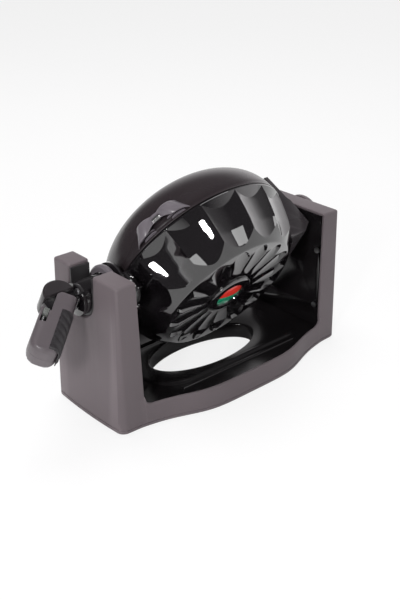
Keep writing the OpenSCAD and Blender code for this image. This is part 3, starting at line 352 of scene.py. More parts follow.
# %% [markdown]
# ## One finish for every slot
# The record names a material slot for every solid, with its plain colour. Each slot gets
# a finish here, and three pieces get one of their own: the catch, the cap of the handle
# and the hinge have another sheen than the mouldings that share their slot. Written in
# one table, the tones can be set against each other at a glance.

# %% Finishes
colour_of = {slot["slot"]: tuple(slot["base_color"][:3]) for slot in record["materials"]}


def tone_of(slot, factor=1.0):
    """The record's colour of a slot, made darker or lighter."""
    return shaded(colour_of[slot], factor)


# How much lighter the edges of a moulding turn is set per finish: the wear of handling plus a painted edge
# highlight, strongest on the black mouldings, the cap and the hinge.
finishes = {
    "shell": moulded(
        "stand lacquer", tone_of("shell", 0.86), 0.42, depth=0.1, specular=0.18
    ),
    "dark_plastic": moulded(
        "black moulding", tone_of("dark_plastic", 0.32), 0.2, depth=0.05, edge_wear_and_highlight=2.2,
        specular=0.35,
    ),
    "cover_plastic": moulded("underside moulding", tone_of("cover_plastic"), 0.6, depth=0.3),
    "dome_coat": moulded("dome lacquer", tone_of("dome_coat", 0.4), 0.26, depth=0.04, edge_wear_and_highlight=1.6),
    "collar_grey": moulded("grey collar", tone_of("collar_grey"), 0.3, depth=0.05, edge_wear_and_highlight=1.8),
    "grip_plastic": moulded("grip lacquer", tone_of("grip_plastic", 0.85), 0.34, depth=0.12),
    "pad_plastic": moulded("grip pad", tone_of("pad_plastic"), 0.55, depth=0.3),
    "slider_plastic": moulded("slider plastic", tone_of("slider_plastic", 0.3), 0.35, depth=0.1),
    "nylon": moulded("saddle nylon", tone_of("nylon"), 0.4, depth=0.05),
    "bearing_nylon": moulded("bush nylon", tone_of("bearing_nylon"), 0.45, depth=0.1, edge_wear_and_highlight=1.1),
    "gloss_black": piano_black("piano black", tone_of("gloss_black")),
    "steel": drawn_metal("bright steel", tone_of("steel"), 0.2),
    "zinc_steel": drawn_metal("plated steel", tone_of("zinc_steel"), 0.32),
    "spring_steel": drawn_metal("spring steel", tone_of("spring_steel"), 0.28),
    "element_steel": drawn_metal("heated steel", tone_of("element_steel"), 0.45),
    "reflector_metal": drawn_metal("rolled sheet", tone_of("reflector_metal"), 0.18, (1, 20, 1)),
    "plate_metal": nonstick("non-stick coat", tone_of("plate_metal")),
    "foot_rubber": soft_rubber("foot rubber", tone_of("foot_rubber")),
    "cord_rubber": soft_rubber("strain relief rubber", tone_of("cord_rubber")),
    "ceramic": fired_ceramic("ceramic", tone_of("ceramic")),
    "red_lens": lamp_cover("red lens", tone_of("red_lens")),
    "green_lens": lamp_cover("green lens", tone_of("green_lens")),
    "lamp_glass": clear_glass("lamp glass"),
    "catch": moulded("catch plastic", tone_of("collar_grey", 1.25), 0.3, depth=0.05, edge_wear_and_highlight=1.7),
    "cap": moulded("handle cap", tone_of("grip_plastic", 0.22), 0.22, depth=0.05, edge_wear_and_highlight=2.5),
    "hinge": moulded("hinge casting", tone_of("dark_plastic"), 0.3, depth=0.1, edge_wear_and_highlight=3.5),
}
print("finishes:", len(finishes))

# %% [markdown]
# ## Pieces from rings
# Nearly every moulding here can be drawn as a stack of closed rings that are skinned
# together: a post is a stack along its thickness, the skirt along its height, the iron
# from rim to hub. Boxes cut with booleans would do too, but they leave ragged corners
# where a rounded edge needs clean ones. `skinned` joins the rings, and `piece` makes the
# object, marks the crisp edges, gives it a finish and lets it ride on its body.

# %% Rings
MERGE = 0.002  # points nearer than this, in millimetres, become one


def skinned(rings, cap_first=False, cap_last=False):
    """Vertices and faces of a skin over closed rings with the same number of points."""
    count = len(rings[0])
    points = [point for ring in rings for point in ring]
    faces = []
    for level in range(len(rings) - 1):
        a, b = level * count, (level + 1) * count
        for i in range(count):
            j = (i + 1) % count
            faces.append((a + i, a + j, b + j, b + i))
    if cap_first:
        faces.append(tuple(reversed(range(count))))
    if cap_last:
        faces.append(tuple(range((len(rings) - 1) * count, len(rings) * count)))
    return points, faces


def blend(first, last, share):
    return first + (last - first) * share


def ease(share):
    """0 to 1 with level ends."""
    share = min(1.0, max(0.0, share))
    return share * share * (3 - 2 * share)


# %% Pieces
WELD = 0.01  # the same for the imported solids
ROUNDING_STEPS = 2


def soften(made, width, angle=32, weld=False):
    """Rounds the hard edges a little, so that they catch light as moulded edges do."""
    if weld:
        made.modifiers.new("weld", "WELD").merge_threshold = WELD * MM
    rounding = made.modifiers.new("rounding", "BEVEL")
    rounding.width = width * MM
    rounding.segments = ROUNDING_STEPS
    rounding.limit_method = "ANGLE"
    rounding.angle_limit = math.radians(angle)
    rounding.harden_normals = True


def piece(
    name, shells, place, body, slot, stands_for=(), crisp=32, bevel=0.0, form=None, finish=None
):
    """One object from one or more skins in millimetres, in place and riding on its body.

    Edges sharper than crisp stay hard, or are rounded by bevel; form works on the bare
    skin before it is placed; finish is a finish of the piece's own.
    """
    mesh = bpy.data.meshes.new(name)
    skin = bmesh.new()
    for points, faces in shells:
        corners = [skin.verts.new(Vector(point) * MM) for point in points]
        for face in faces:
            skin.faces.new([corners[i] for i in face])
    bmesh.ops.remove_doubles(skin, verts=skin.verts, dist=MERGE * MM)
    bmesh.ops.recalc_face_normals(skin, faces=skin.faces)
    if form:
        form(skin)
    bmesh.ops.transform(skin, matrix=place, verts=skin.verts)
    for face in skin.faces:
        face.smooth = True
    for edge in skin.edges:
        if len(edge.link_faces) == 2 and edge.calc_face_angle(0) > math.radians(crisp):
            edge.smooth = bevel > 0
    skin.to_mesh(mesh)
    skin.free()
    made = bpy.data.objects.new(name, mesh)
    bpy.context.scene.collection.objects.link(made)
    mesh.materials.append(finishes[finish or slot])
    if bevel:
        soften(made, bevel, crisp)
    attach(made, body)
    if stands_for:
        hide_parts(*stands_for)
    print(name, "faces:", len(mesh.polygons))
    return made


# %% [markdown]
# ## The skirt of the stand
# The stand is one moulding. Its long sides swell out between the posts and tuck back in
# beside each post in an S. The upper edge leans in over the lower one. A box could be
# pulled into this outline by hand, but one function of place and height keeps the skirt
# and the posts on the same line. A stack of plan outlines, from the foot up, over the
# lip and down into the pan, gives the skirt.

# %% Sides of the stand
HALF_LENGTH = 150.0
HALF_DEPTH = 54.8
DEPTH_DRAFT = 5.1
SKIRT_HEIGHT = 24.5
SWELL_FOOT = 24.5
SWELL_TOP = 21.8
SWELL_TURN = 86.0
SWELL_REACH = 135.0
FLARE_HEIGHT = 14.0
POST_TOP_X = HALF_LENGTH - 22.5
POST_FOOT_X = POST_TOP_X - 3.7


def inner_x(z):
    """Distance of the inner side of a post from the middle, at height z."""
    return blend(POST_FOOT_X, POST_TOP_X, z / STAND_HEIGHT)


def swell(x, amount):
    """Bulge of a long side at x: full in the middle, gone where the posts begin."""
    far = min(1.0, abs(x) / SWELL_REACH)
    return amount * (1 - far**8) / (1 + (abs(x) / SWELL_TURN) ** 5)


def side(x, z):
    """Half depth of the stand at x and height z, with the flare of a post above the skirt."""
    amount = blend(SWELL_FOOT, SWELL_TOP, min(1.0, z / SKIRT_HEIGHT))
    above = min(1.0, max(0.0, (z - SKIRT_HEIGHT) / FLARE_HEIGHT))
    return HALF_DEPTH - DEPTH_DRAFT * z / STAND_HEIGHT + swell(x, amount) * (1 - above) ** 2


print("depth in the middle", round(2 * side(0, 0), 1), "mm, at a post", 2 * HALF_DEPTH)

# %% Plan outlines
WEB_R = 9.0
UNDER_POST = 0.8
UNDER_RUN = 1.4


def web(x):
    """Rise of the skirt's lip in the round corner beside a post."""
    into = min(WEB_R, max(0.0, abs(x) - inner_x(SKIRT_HEIGHT) + WEB_R))
    return WEB_R - math.sqrt(WEB_R**2 - into**2) if into < WEB_R else WEB_R


outline_x = [-110 + 2.5 * i for i in range(89)]
outline_x += [hand * (110 + 0.7 * i) for hand in (-1, 1) for i in range(1, 26)]
outline_x += [hand * x for hand in (-1, 1) for x in (130.0, 136.0, 142.0, 146.0)]
outline_x.sort()


def plan_ring(z, inset, lifted=False):
    """The skirt's outline at height z, less an inset; it dives under the skin of each post."""
    front = []
    for x in outline_x:
        under = UNDER_POST * ease((abs(x) - inner_x(z)) / UNDER_RUN)
        height = z + (web(x) if lifted else 0.0)
        front.append((x, -(side(x, z) - inset - under), height))
    return front + [(-x, -y, height) for x, y, height in front]


# %% Skirt
GROOVE = 0.55
FOOT_LEVELS = [
    (1.3, 1.3), (1.5, 0.5), (2.2, 0.0), (4.3, 0.0), (4.5, GROOVE), (5.1, GROOVE), (5.4, 0.0),
]
SIDE_HEIGHTS = (9, 14, 18)
LIP_LEVELS = [
    (21.5, 0.0), (22.9, 0.12), (23.8, 0.55), (24.35, 1.2), (24.5, 1.9), (24.3, 2.6), (23.4, 3.1),
]
skirt = skinned(
    [plan_ring(2.2, 4.0)]
    + [plan_ring(z, inset) for z, inset in FOOT_LEVELS]
    + [plan_ring(z, 0.0) for z in SIDE_HEIGHTS]
    + [plan_ring(z, inset, True) for z, inset in LIP_LEVELS]
    + [plan_ring(22, 3.25), plan_ring(17, 3.3)]
)
print("skirt points:", len(skirt[0]))

# %% [markdown]
# ## The posts
# A post is a tray on its side: a slightly bowed outer face with soft edges, four
# walls, and a lip that frames the dark liner on the side of the iron. The left one is
# open at the top, in a U that lies behind the middle, where the round journal rests. It
# could be a box with a hole cut in it, but the edge has to stay round along the U, so it
# is drawn as its side view, pushed through the thickness of the post. The corners grow
# rounder towards the foot. At the end the outer face is cut into strips and bowed.

# %% Side view of a post
LIP = 3.0
NOTCH_R = 18.35
NOTCH_LIP_R = 1.6
TOP_R = 2.4
SMALLEST_R = 0.4
FOOT_CORNER_R = 7.0
TOP_CORNER_R = 2.6
axis_y = (axis_point.y - STAND_Y) / MM
axis_z = axis_point.z / MM
WALL_HEIGHTS = (*SIDE_HEIGHTS, 21.5, 24.5, 27, 30, 34, 38.5, 60, 90, 120)
WALL_LEVELS = FOOT_LEVELS + [(z, 0.0) for z in WALL_HEIGHTS]


def corner_r(z):
    return blend(FOOT_CORNER_R, TOP_CORNER_R, z / STAND_HEIGHT)


def turn(y, z, r, first, last, steps=6):
    """Points of an arc in a side view."""
    angles = [math.radians(blend(first, last, i / steps)) for i in range(steps + 1)]
    return [(y + r * math.cos(a), z + r * math.sin(a)) for a in angles]


def post_side(x_at, inset_at, top_inset, notched):
    """Side view of a post from the front foot round to the back foot."""
    top = STAND_HEIGHT - top_inset
    r = max(SMALLEST_R, TOP_R - top_inset)

    def wall(z, groove=0.0):
        return side(x_at(z), z) - inset_at(z) - groove

    ends = wall(top - r) - r
    outline = [(-wall(z, groove), z) for z, groove in WALL_LEVELS]
    outline += turn(-ends, top - r, r, 180, 90)
    if notched:
        gap = NOTCH_R + top_inset
        lip = NOTCH_LIP_R
        outline += turn(axis_y - gap - lip, top - lip, lip, 90, 0, 4)
        outline += turn(axis_y, axis_z, gap, 180, 360, 28)
        outline += turn(axis_y + gap + lip, top - lip, lip, 180, 90, 4)
    outline += turn(ends, top - r, r, 90, 0)
    return outline + [(wall(z, groove), z) for z, groove in reversed(WALL_LEVELS)]


print("axis", round(axis_z, 1), "mm up and", round(axis_y, 1), "mm behind the middle")

# %% Skin of a post
EDGE_STEPS = 7
INNER_PROFILE = [  # depth into the post and inset, over the lip and back in
    (6.0, 0.0), (2.5, 0.0), (1.0, 0.0), (0.3, 0.3), (0.0, 1.0), (0.0, LIP - 0.5), (0.4, LIP),
    (6.0, LIP),
]
FADING_INSET = 1.0
FADE_HEIGHT = 6.0


def post_ring(hand, notched, x_at, inset_at, top_inset):
    """A side view in place; x_at is the distance from the middle at each height."""
    outline = post_side(x_at, inset_at, top_inset, notched)
    return [(hand * x_at(z), y, z) for y, z in outline]


def edge_ring(hand, notched, step):
    """A ring of the soft edge round the outer face."""
    a = math.radians(90 * step / EDGE_STEPS)
    return post_ring(
        hand, notched,
        lambda z: HALF_LENGTH - corner_r(z) * (1 - math.cos(a)),
        lambda z: corner_r(z) * (1 - math.sin(a)),
        TOP_R * (1 - math.sin(a)),
    )


def inner_ring(hand, notched, x, inset):
    """A ring on the side of the iron; low down the small insets fade into the skirt."""
    def inset_at(z):
        fade = ease((z - SKIRT_HEIGHT) / FADE_HEIGHT) if inset <= FADING_INSET else 1.0
        return inset * fade
    return post_ring(hand, notched, lambda z: inner_x(z) + x, inset_at, inset)


def post_shell(hand, notched):
    """Skin of a post; hand is 1 for the right one and -1 for the left one."""
    rings = [edge_ring(hand, notched, step) for step in range(EDGE_STEPS + 1)]
    rings += [inner_ring(hand, notched, x, inset) for x, inset in INNER_PROFILE]
    return skinned(rings, cap_first=True)


# %% Stand moulding
END_SPLAY = 2.1
END_BOW = 2.6
OUTER_FACE_X = HALF_LENGTH - 0.1
GROOVE_Z = (4.4, 5.2)
STRIP_EDGES_Y = range(-48, 49, 8)


def bow_ends(skin):
    """Cuts the outer faces into strips, then lets both ends lean out and swell at the foot."""
    cuts = [(Vector((0, y * MM, 0)), Vector((0, 1, 0))) for y in STRIP_EDGES_Y]
    cuts += [(Vector((0, 0, z * MM)), Vector((0, 0, 1))) for z, _ in FOOT_LEVELS[1:]]
    for point, normal in cuts:
        outer = [f for f in skin.faces if abs(f.calc_center_median().x) > OUTER_FACE_X * MM]
        edges = {edge for face in outer for edge in face.edges}
        corners = {corner for face in outer for corner in face.verts}
        cut = outer + list(edges) + list(corners)
        bmesh.ops.bisect_plane(skin, geom=cut, plane_co=point, plane_no=normal)
    for corner in skin.verts:
        x, y, z = corner.co / MM
        share = (abs(x) - POST_TOP_X) / (HALF_LENGTH - POST_TOP_X)
        if share > 0:
            low = 1 - z / STAND_HEIGHT
            bow = END_BOW * max(0.0, 1 - (y / HALF_DEPTH) ** 2)
            in_groove = abs(x) > OUTER_FACE_X and GROOVE_Z[0] < z < GROOVE_Z[1]
            out = (END_SPLAY + bow) * low * share - (GROOVE if in_groove else 0.0)
            corner.co.x += math.copysign(out * MM, x)


piece(
    "stand_moulding", [skirt, post_shell(1, False), post_shell(-1, True)],
    STAND, "stand", "shell", ["stand_shell"], crisp=40, form=bow_ends,
)

# %% [markdown]
# ## The pan
# A black pan drops in between the posts. Its middle is a low platform with an oval
# opening, its border slopes down to the pan, and a long bead stiffens the front and the
# back. Cutting an oval out of a plate would leave a mesh that can't be rounded. Rings
# that run from the opening outwards keep every edge a loop: an ellipse, then the outline
# of the platform, then the outline of the skirt.

# %% Outlines of the pan
PAN_Z = 18.5
PLATFORM_Z = 21.0
RING_STEPS = 240
OVAL_A, OVAL_B, OVAL_X, OVAL_Y = 68.3, 33.2, -1.0, 0.8
PLATFORM_X = 8.0
PLATFORM_HALF_X = 101.0
PLATFORM_HALF_Y = 43.5
WIDE_CORNER = 40.0
TIGHT_CORNER = 22.0
PAN_END = 18.0
PAN_SQUARENESS = 2 / 9
SKIRT_LIP = 3.1
SEARCH = (0.3, 1.5)  # shares of the half lengths between which the outline surely lies
HALVINGS = 24
ring_angles = [2 * math.pi * i / RING_STEPS for i in range(RING_STEPS)]


def oval(grown, z):
    """The outline of the opening, grown by some millimetres."""
    return [
        (OVAL_X + (OVAL_A + grown) * math.cos(a), OVAL_Y + (OVAL_B + grown) * math.sin(a), z)
        for a in ring_angles
    ]


def in_platform(x, y, inset):
    """Whether a point lies on the platform, less an inset; its left corners are wider."""
    r = (WIDE_CORNER if x < 0 else TIGHT_CORNER) - inset
    past_x = abs(x) - (PLATFORM_HALF_X - inset - r)
    past_y = abs(y) - (PLATFORM_HALF_Y - inset - r)
    if past_x > 0 and past_y > 0:
        return math.hypot(past_x, past_y) < r
    return past_x < r and past_y < r


def platform(inset, z):
    """The outline of the platform, less an inset, found by walking out along each angle."""
    ring = []
    for a in ring_angles:
        x, y = PLATFORM_HALF_X * math.cos(a), PLATFORM_HALF_Y * math.sin(a)
        near, far = SEARCH
        for _ in range(HALVINGS):
            middle = (near + far) / 2
            if in_platform(x * middle, y * middle, inset):
                near = middle
            else:
                far = middle
        ring.append((PLATFORM_X + x * near, y * near, z))
    return ring


def pan_edge(z, inset):
    """The edge of the pan along the inside of the skirt."""
    ring = []
    for a in ring_angles:
        x, y = (math.copysign(abs(v) ** PAN_SQUARENESS, v) for v in (math.cos(a), math.sin(a)))
        x *= HALF_LENGTH - PAN_END
        ring.append((x, y * (side(x, SKIRT_HEIGHT) - SKIRT_LIP - inset), z))
    return ring


print("opening", 2 * OVAL_A, "x", 2 * OVAL_B, "mm, platform", 2 * PLATFORM_HALF_X, "mm long")

# %% Pan with its beads
DECK_RINGS = [
    oval(0.2, 4.8), oval(0.2, 19.0), oval(0.45, 20.0), oval(1.1, 20.7), oval(2.2, PLATFORM_Z),
    platform(6.0, PLATFORM_Z), platform(4.6, PLATFORM_Z), platform(3.9, PLATFORM_Z + 0.15),
    platform(3.2, PLATFORM_Z), platform(1.2, PAN_Z + 0.9), platform(0.5, PAN_Z + 0.25),
    platform(-0.6, PAN_Z), pan_edge(PAN_Z, 1.6), pan_edge(PAN_Z + 0.4, 0.5),
    pan_edge(PAN_Z + 1.6, -0.1),
]
BEAD_SIDES = 16
BEAD_DOME = 7
BEAD_TIP = 0.02
BEAD_R = 2.0
BEAD_HEIGHT = 1.9


def bead_ring(at, across, r, height):
    ring = []
    for k in range(BEAD_SIDES):
        a = 2 * math.pi * k / BEAD_SIDES
        ring.append(tuple(at + across * r * math.cos(a) + Vector((0, 0, height * math.sin(a)))))
    return ring


def bead(start, end):
    """A long half-round bead with domed ends, standing in the pan."""
    start, end = Vector((*start, PAN_Z)), Vector((*end, PAN_Z))
    run = (end - start).normalized()
    across = Vector((-run.y, run.x, 0))
    rings = []
    for i in range(2 * BEAD_DOME):
        a = math.pi * (i if i < BEAD_DOME else i - 1) / (2 * BEAD_DOME - 2)
        spread = max(math.sin(a), BEAD_TIP)
        at = (start if i < BEAD_DOME else end) - run * BEAD_R * math.cos(a)
        rings.append(bead_ring(at, across, BEAD_R * spread, BEAD_HEIGHT * spread))
    return skinned(rings, True, True)


piece(
    "pan",
    [skinned(DECK_RINGS), bead((-69, -48), (85, -49.5)), bead((-69, 48), (85, 49.5))],
    STAND, "stand", "dark_plastic", ["base_deck"], crisp=40,
)

# %% [markdown]
# ## The fluted half
# Sixteen scoops run from the rim to the shoulder. Between two scoops stands a sharp
# ridge that widens into a small triangle at the shoulder, because each scoop ends in an
# arch. Sixteen cutters could carve the scoops out of a turned blank, but the mesh would
# break up where the cuts meet. So every ring is worked out from two numbers: u, the
# place across one scoop, and v, the way down it.

# %% Ridges and rings
RIM_R = 103.3
LEDGE_R = 103.1
LEDGE_Z = 2.2
FLUTES = 16
FIRST_RIDGE = 1.3
ACROSS = 24
BREAK_Z = 41.0
BREAK_R = 90.5
RIDGE_FALL = 0.5
CHAMFER_FALL = 1.16
RIDGE_PROFILE = [
    (0, RIM_R), (LEDGE_Z, LEDGE_R), (12, 101.2), (23, 97.7), (34, 93.9), (BREAK_Z, BREAK_R),
]


def ridge_radius(z):
    """Radius of the ridges at a height above the joint, as if they ran on under the shoulder."""
    for (z0, r0), (z1, r1) in zip(RIDGE_PROFILE, RIDGE_PROFILE[1:]):
        if z <= z1:
            return blend(r0, r1, (z - z0) / (z1 - z0))
    return BREAK_R - RIDGE_FALL * (z - BREAK_Z)


def chamfer_radius(z):
    return BREAK_R - CHAMFER_FALL * (z - BREAK_Z)


def iron_ring(radius_and_height):
    """A closed ring from a function of u that gives radius and height."""
    ring = []
    for k in range(FLUTES):
        for i in range(ACROSS):
            u = i / ACROSS
            a = math.radians(FIRST_RIDGE + (k + u) * 360 / FLUTES)
            r, z = radius_and_height(u)
            ring.append((r * math.cos(a), r * math.sin(a), z))
    return ring


def level(r, z):
    return iron_ring(lambda u: (r, z))


print("ridge radius at the rim", RIM_R, "mm, at the shoulder", BREAK_R, "mm")

# %% Scoops and shoulder
SCOOP = 5.7
SCOOP_SQUARENESS = 0.85
RAMP_FALL = 0.92
RIDGE_LEAN = 0.24
FACE_Z = 53.5
SHOULDER_END_Z = FACE_Z - 1.6


def scoop_depth(u):
    return SCOOP * math.sin(math.pi * u) ** SCOOP_SQUARENESS


def scoop_end(u):
    """Height at which a scoop runs out into the shoulder."""
    return BREAK_Z + scoop_depth(u) / (CHAMFER_FALL - RIDGE_FALL)


def scoop_start(u):
    """Height at which the slope from the rim meets the floor of a scoop."""
    return LEDGE_Z + scoop_depth(u) / (RAMP_FALL - RIDGE_LEAN)


def ramp_ring(share):
    """A ring on the slope from the rim down into the scoops."""
    def at(u):
        z = blend(LEDGE_Z, scoop_start(u), share)
        return min(ridge_radius(z), LEDGE_R - RAMP_FALL * (z - LEDGE_Z)), z
    return iron_ring(at)


def scoop_ring(v):
    def at(u):
        z = blend(scoop_start(u), scoop_end(u), v)
        return ridge_radius(z) - scoop_depth(u), z
    return iron_ring(at)


def shoulder_ring(share):
    def at(u):
        z = blend(scoop_end(u), SHOULDER_END_Z, share)
        return chamfer_radius(z), z
    return iron_ring(at)


print("a scoop runs from", round(scoop_start(0.5), 1), "to", round(scoop_end(0.5), 1), "mm")

# %% [markdown]
# The face has sixteen pointed petals round the lamp, one below each scoop. A petal is a
# shallow dish with a sharp lip at its wide end that runs out towards the hub. It could
# be a bump in the finish, but then its lip would catch no light from the side.

# %% Petals
HUB_R = 30.0
BEZEL_R = 20.4
PETAL_R = (60.0, 73.0)
PETAL_LIP = 1.0
PETAL_DEEP = 3.2
PETAL_LIP_DEEP = 1.2


def petal_tip(u):
    """Radius of a petal's outer end: furthest out in the middle of the petal."""
    return blend(*PETAL_R, math.sin(math.pi * u) ** 1.2)


def petal_ring(share, depth):
    """A ring of the petals, share of the way from their outer ends to the hub."""
    def at(u):
        lip = 0.0 if share > 0 else PETAL_LIP
        low = depth * math.sin(math.pi * u) ** 0.8
        return blend(petal_tip(u), HUB_R, share) + lip, FACE_Z - low
    return iron_ring(at)


petal_rings = [petal_ring(0, 0.0), petal_ring(0.001, PETAL_LIP_DEEP)]
petal_rings += [
    petal_ring(share, PETAL_DEEP * (1 - share) ** 0.7) for share in (0.06, 0.2, 0.4, 0.6, 0.8)
]
print("petals:", FLUTES, "reaching", PETAL_R[1], "mm out")

# %% Fluted casing
SEAM = 0.4
PLATE_R = 88.0
POCKET_R = 90.4
POCKET_Z = 8.7
LAND_R = 91.0
SCOOP_STEPS = 24
SHOULDER_R = chamfer_radius(SHOULDER_END_Z)

fluted_rings = [
    level(PLATE_R, POCKET_Z), level(POCKET_R, POCKET_Z), level(POCKET_R, SEAM + 0.4),
    level(LAND_R, SEAM), level(RIM_R - 0.6, SEAM), level(RIM_R, SEAM + 0.6), level(RIM_R, 1.8),
    level(LEDGE_R, LEDGE_Z),
]
fluted_rings += [ramp_ring(share) for share in (0.05, 0.5, 0.97)]
fluted_rings += [scoop_ring(v / SCOOP_STEPS) for v in range(SCOOP_STEPS + 1)]
fluted_rings += [shoulder_ring(share) for share in (0.06, 0.5, 1.0)]
fluted_rings += [
    level(SHOULDER_R - 0.9, FACE_Z - 0.8), level(SHOULDER_R - 1.9, FACE_Z - 0.25),
    level(SHOULDER_R - 3.0, FACE_Z),
]
fluted_rings += petal_rings
fluted_rings += [level(HUB_R, FACE_Z), level(BEZEL_R, FACE_Z), level(BEZEL_R, FACE_Z - 6)]

piece(
    "fluted_casing", [skinned(fluted_rings)], IRON, "fluted_half", "gloss_black",
    ["fluted_shell"], crisp=24, bevel=0.3,
)

# %% [markdown]
# ## The smooth half
# The lid is a deep dome. A sphere that is squashed would come close, but the real one is
# flat at the seam, almost upright for the first finger's width, then round and full to
# the crown. So it is turned from one outline, as on a lathe.

# %% Dome
DOME_DEPTH = 66.0
DOME_STEPS = 160
DOME_FULLNESS = 0.9
DOME_START = -4.0
DOME_INSET = 0.1


def turned(profile, steps=DOME_STEPS):
    """Rings of a turned shape from pairs of radius and height."""
    rings = []
    for r, z in profile:
        ring = []
        for i in range(steps):
            a = 2 * math.pi * i / steps
            ring.append((r * math.cos(a), r * math.sin(a), z))
        rings.append(ring)
    return rings


def dome_outline(steps=30):
    for i in range(1, steps):
        a = math.radians(90 * i / steps)
        r, depth = math.cos(a) ** DOME_FULLNESS, math.sin(a) ** DOME_FULLNESS
        yield RIM_R * r, -DOME_DEPTH * depth


dome_profile = [
    (PLATE_R, -POCKET_Z), (POCKET_R, -POCKET_Z), (POCKET_R, -SEAM - 0.4), (LAND_R, -SEAM),
    (RIM_R - 0.7, -SEAM), (RIM_R, -SEAM - 0.7), (RIM_R, -3.2), (RIM_R - 0.5, -3.6),
]
dome_profile += [(r - DOME_INSET, z) for r, z in dome_outline() if z < DOME_START]
dome_profile += [(1.0, -DOME_DEPTH)]
piece(
    "dome", [skinned(turned(dome_profile), cap_last=True)], IRON, "smooth_half", "dome_coat",
    ["smooth_shell"], crisp=40,
)

# %% [markdown]
# ## The lid catch
# Two finger scoops side by side sit on the dome just behind the seam, with a waist
# between them. They are open towards the fluted half, where a thumb presses. Two bowls
# could be joined and hollowed, but they would have to be bent to the rim as well. So the
# catch is swept round the rim: at each angle the same hooked section reaches out to the
# outline of the two lobes.

# %% Outline of the lobes
LOBE_R = 15.2
LOBE_X = 98.0
LOBE_TURN = 9.4
WAIST_TURN = 6.0
WAIST_OUT = 4.6
WAIST_CURVE = 0.02
CATCH_SKIN = RIM_R + 0.3


def lobe_reach(offset):
    """How far the outline lies from the iron's middle, at an angle from the waist."""
    reach = CATCH_SKIN
    for hand in (-1, 1):
        away = math.radians(offset - hand * LOBE_TURN)
        inside = LOBE_R**2 - (LOBE_X * math.sin(away)) ** 2
        if inside > 0:
            reach = max(reach, LOBE_X * math.cos(away) + math.sqrt(inside))
    waist = CATCH_SKIN + WAIST_OUT - WAIST_CURVE * offset * offset
    return max(reach, waist) if abs(offset) < WAIST_TURN else reach


print("a lobe stands", round(lobe_reach(LOBE_TURN) - RIM_R, 1), "mm out of the rim")

# %% Hood of the catch
CATCH_ANGLE = 136.3
CATCH_HALF_TURN = 18.0
CATCH_STEPS = 96
CATCH_BACK = -17.4
CATCH_LIP = -2.2
CATCH_WAIST = -9.2
CATCH_WALL = 1.8
FRONT_TURN = 7.5
LOWEST_HOOD = 0.3
BACK_CLEARANCE = 2.2
CATCH_TAPER = 0.72
HOLLOW_Z = -13.2


def skin_radius(z):
    """Radius of the dome's skin at a height behind the seam."""
    lean = min(1.0, (max(0.0, -z) / DOME_DEPTH)) ** (1 / DOME_FULLNESS)
    return RIM_R * (1 - lean * lean) ** (DOME_FULLNESS / 2)


def catch_section(offset):
    """Section at an angle from the waist: a hood, hollow under its front edge."""
    depth = lobe_reach(offset) - CATCH_SKIN
    front = blend(CATCH_LIP, CATCH_WAIST, ease((LOBE_TURN - abs(offset)) / FRONT_TURN))
    inner = CATCH_SKIN + max(depth * LOWEST_HOOD, depth - CATCH_WALL)
    outer = CATCH_SKIN + depth
    under = skin_radius(HOLLOW_Z + 0.2)
    return [
        (skin_radius(CATCH_BACK) + BACK_CLEARANCE, CATCH_BACK),
        (CATCH_SKIN + depth * 0.5, CATCH_BACK + 0.2),
        (CATCH_SKIN + depth * 0.8, CATCH_BACK + 0.7),
        (CATCH_SKIN + depth * 0.94, CATCH_BACK + 1.9),
        (outer, CATCH_BACK + 4.0), (outer, front - 0.9), (outer - min(0.5, depth * 0.2), front),
        (inner, front - 0.3), (inner, HOLLOW_Z + 0.8), (under + 1.4, HOLLOW_Z),
        (under + 1.1, HOLLOW_Z),
    ]


def catch_ring(offset):
    """The section in place: the sides of the hood draw together towards its back."""
    ring = []
    for r, z in catch_section(offset):
        taper = blend(1.0, CATCH_TAPER, ease(z / CATCH_BACK))
        a = math.radians(CATCH_ANGLE + offset * taper)
        ring.append((r * math.cos(a), r * math.sin(a), z))
    return ring


catch_rings = [
    catch_ring(blend(-CATCH_HALF_TURN, CATCH_HALF_TURN, step / CATCH_STEPS))
    for step in range(CATCH_STEPS + 1)
]
print("hood rings:", len(catch_rings))

# %% Fins under the hoods
FIN_STEPS = 16
FIN_OUT = (0.2, 3.4)
FIN_FOOT = 0.6
FIN_TOP = 0.35
FIN_SPREAD = 5.2
FIN_Z = -5.6
FIN_PITCH = 2.9


def fin(middle, spread, z):
    """A thin rib under a hood, along the rim, with ends that run out."""
    rings = []
    for step in range(FIN_STEPS + 1):
        share = 2 * step / FIN_STEPS - 1
        a = math.radians(CATCH_ANGLE + middle + spread * share)
        out = CATCH_SKIN + FIN_OUT[0] + FIN_OUT[1] * math.sqrt(max(0.0, 1 - share * share))
        rings.append([
            (r * math.cos(a), r * math.sin(a), height)
            for r, height in (
                (CATCH_SKIN, z - FIN_FOOT), (out, z - FIN_TOP),
                (out, z + FIN_TOP), (CATCH_SKIN, z + FIN_FOOT),
            )
        ])
    return skinned(rings, True, True)


fins = [
    fin(hand * LOBE_TURN + lean, FIN_SPREAD - step, FIN_Z + FIN_PITCH * step)
    for hand in (-1, 1) for step, lean in enumerate((0.0, -1.2))
]
piece(
    "finger_catch", [skinned(catch_rings, True, True), *fins], IRON, "catch", "collar_grey",
    ["lid_catch"], crisp=38, finish="catch",
)

# %% [markdown]
# ## The grip
# The handle ends in a flat grip that folds on a pin. It is moulded in two shells, split
# along the middle. A rounded box would lose the fork at its root and the window for the
# slider, so each shell is drawn as slices across its width: a slice runs from the fork
# round the pin to the rounded tip, and the slices over the window dip into it.

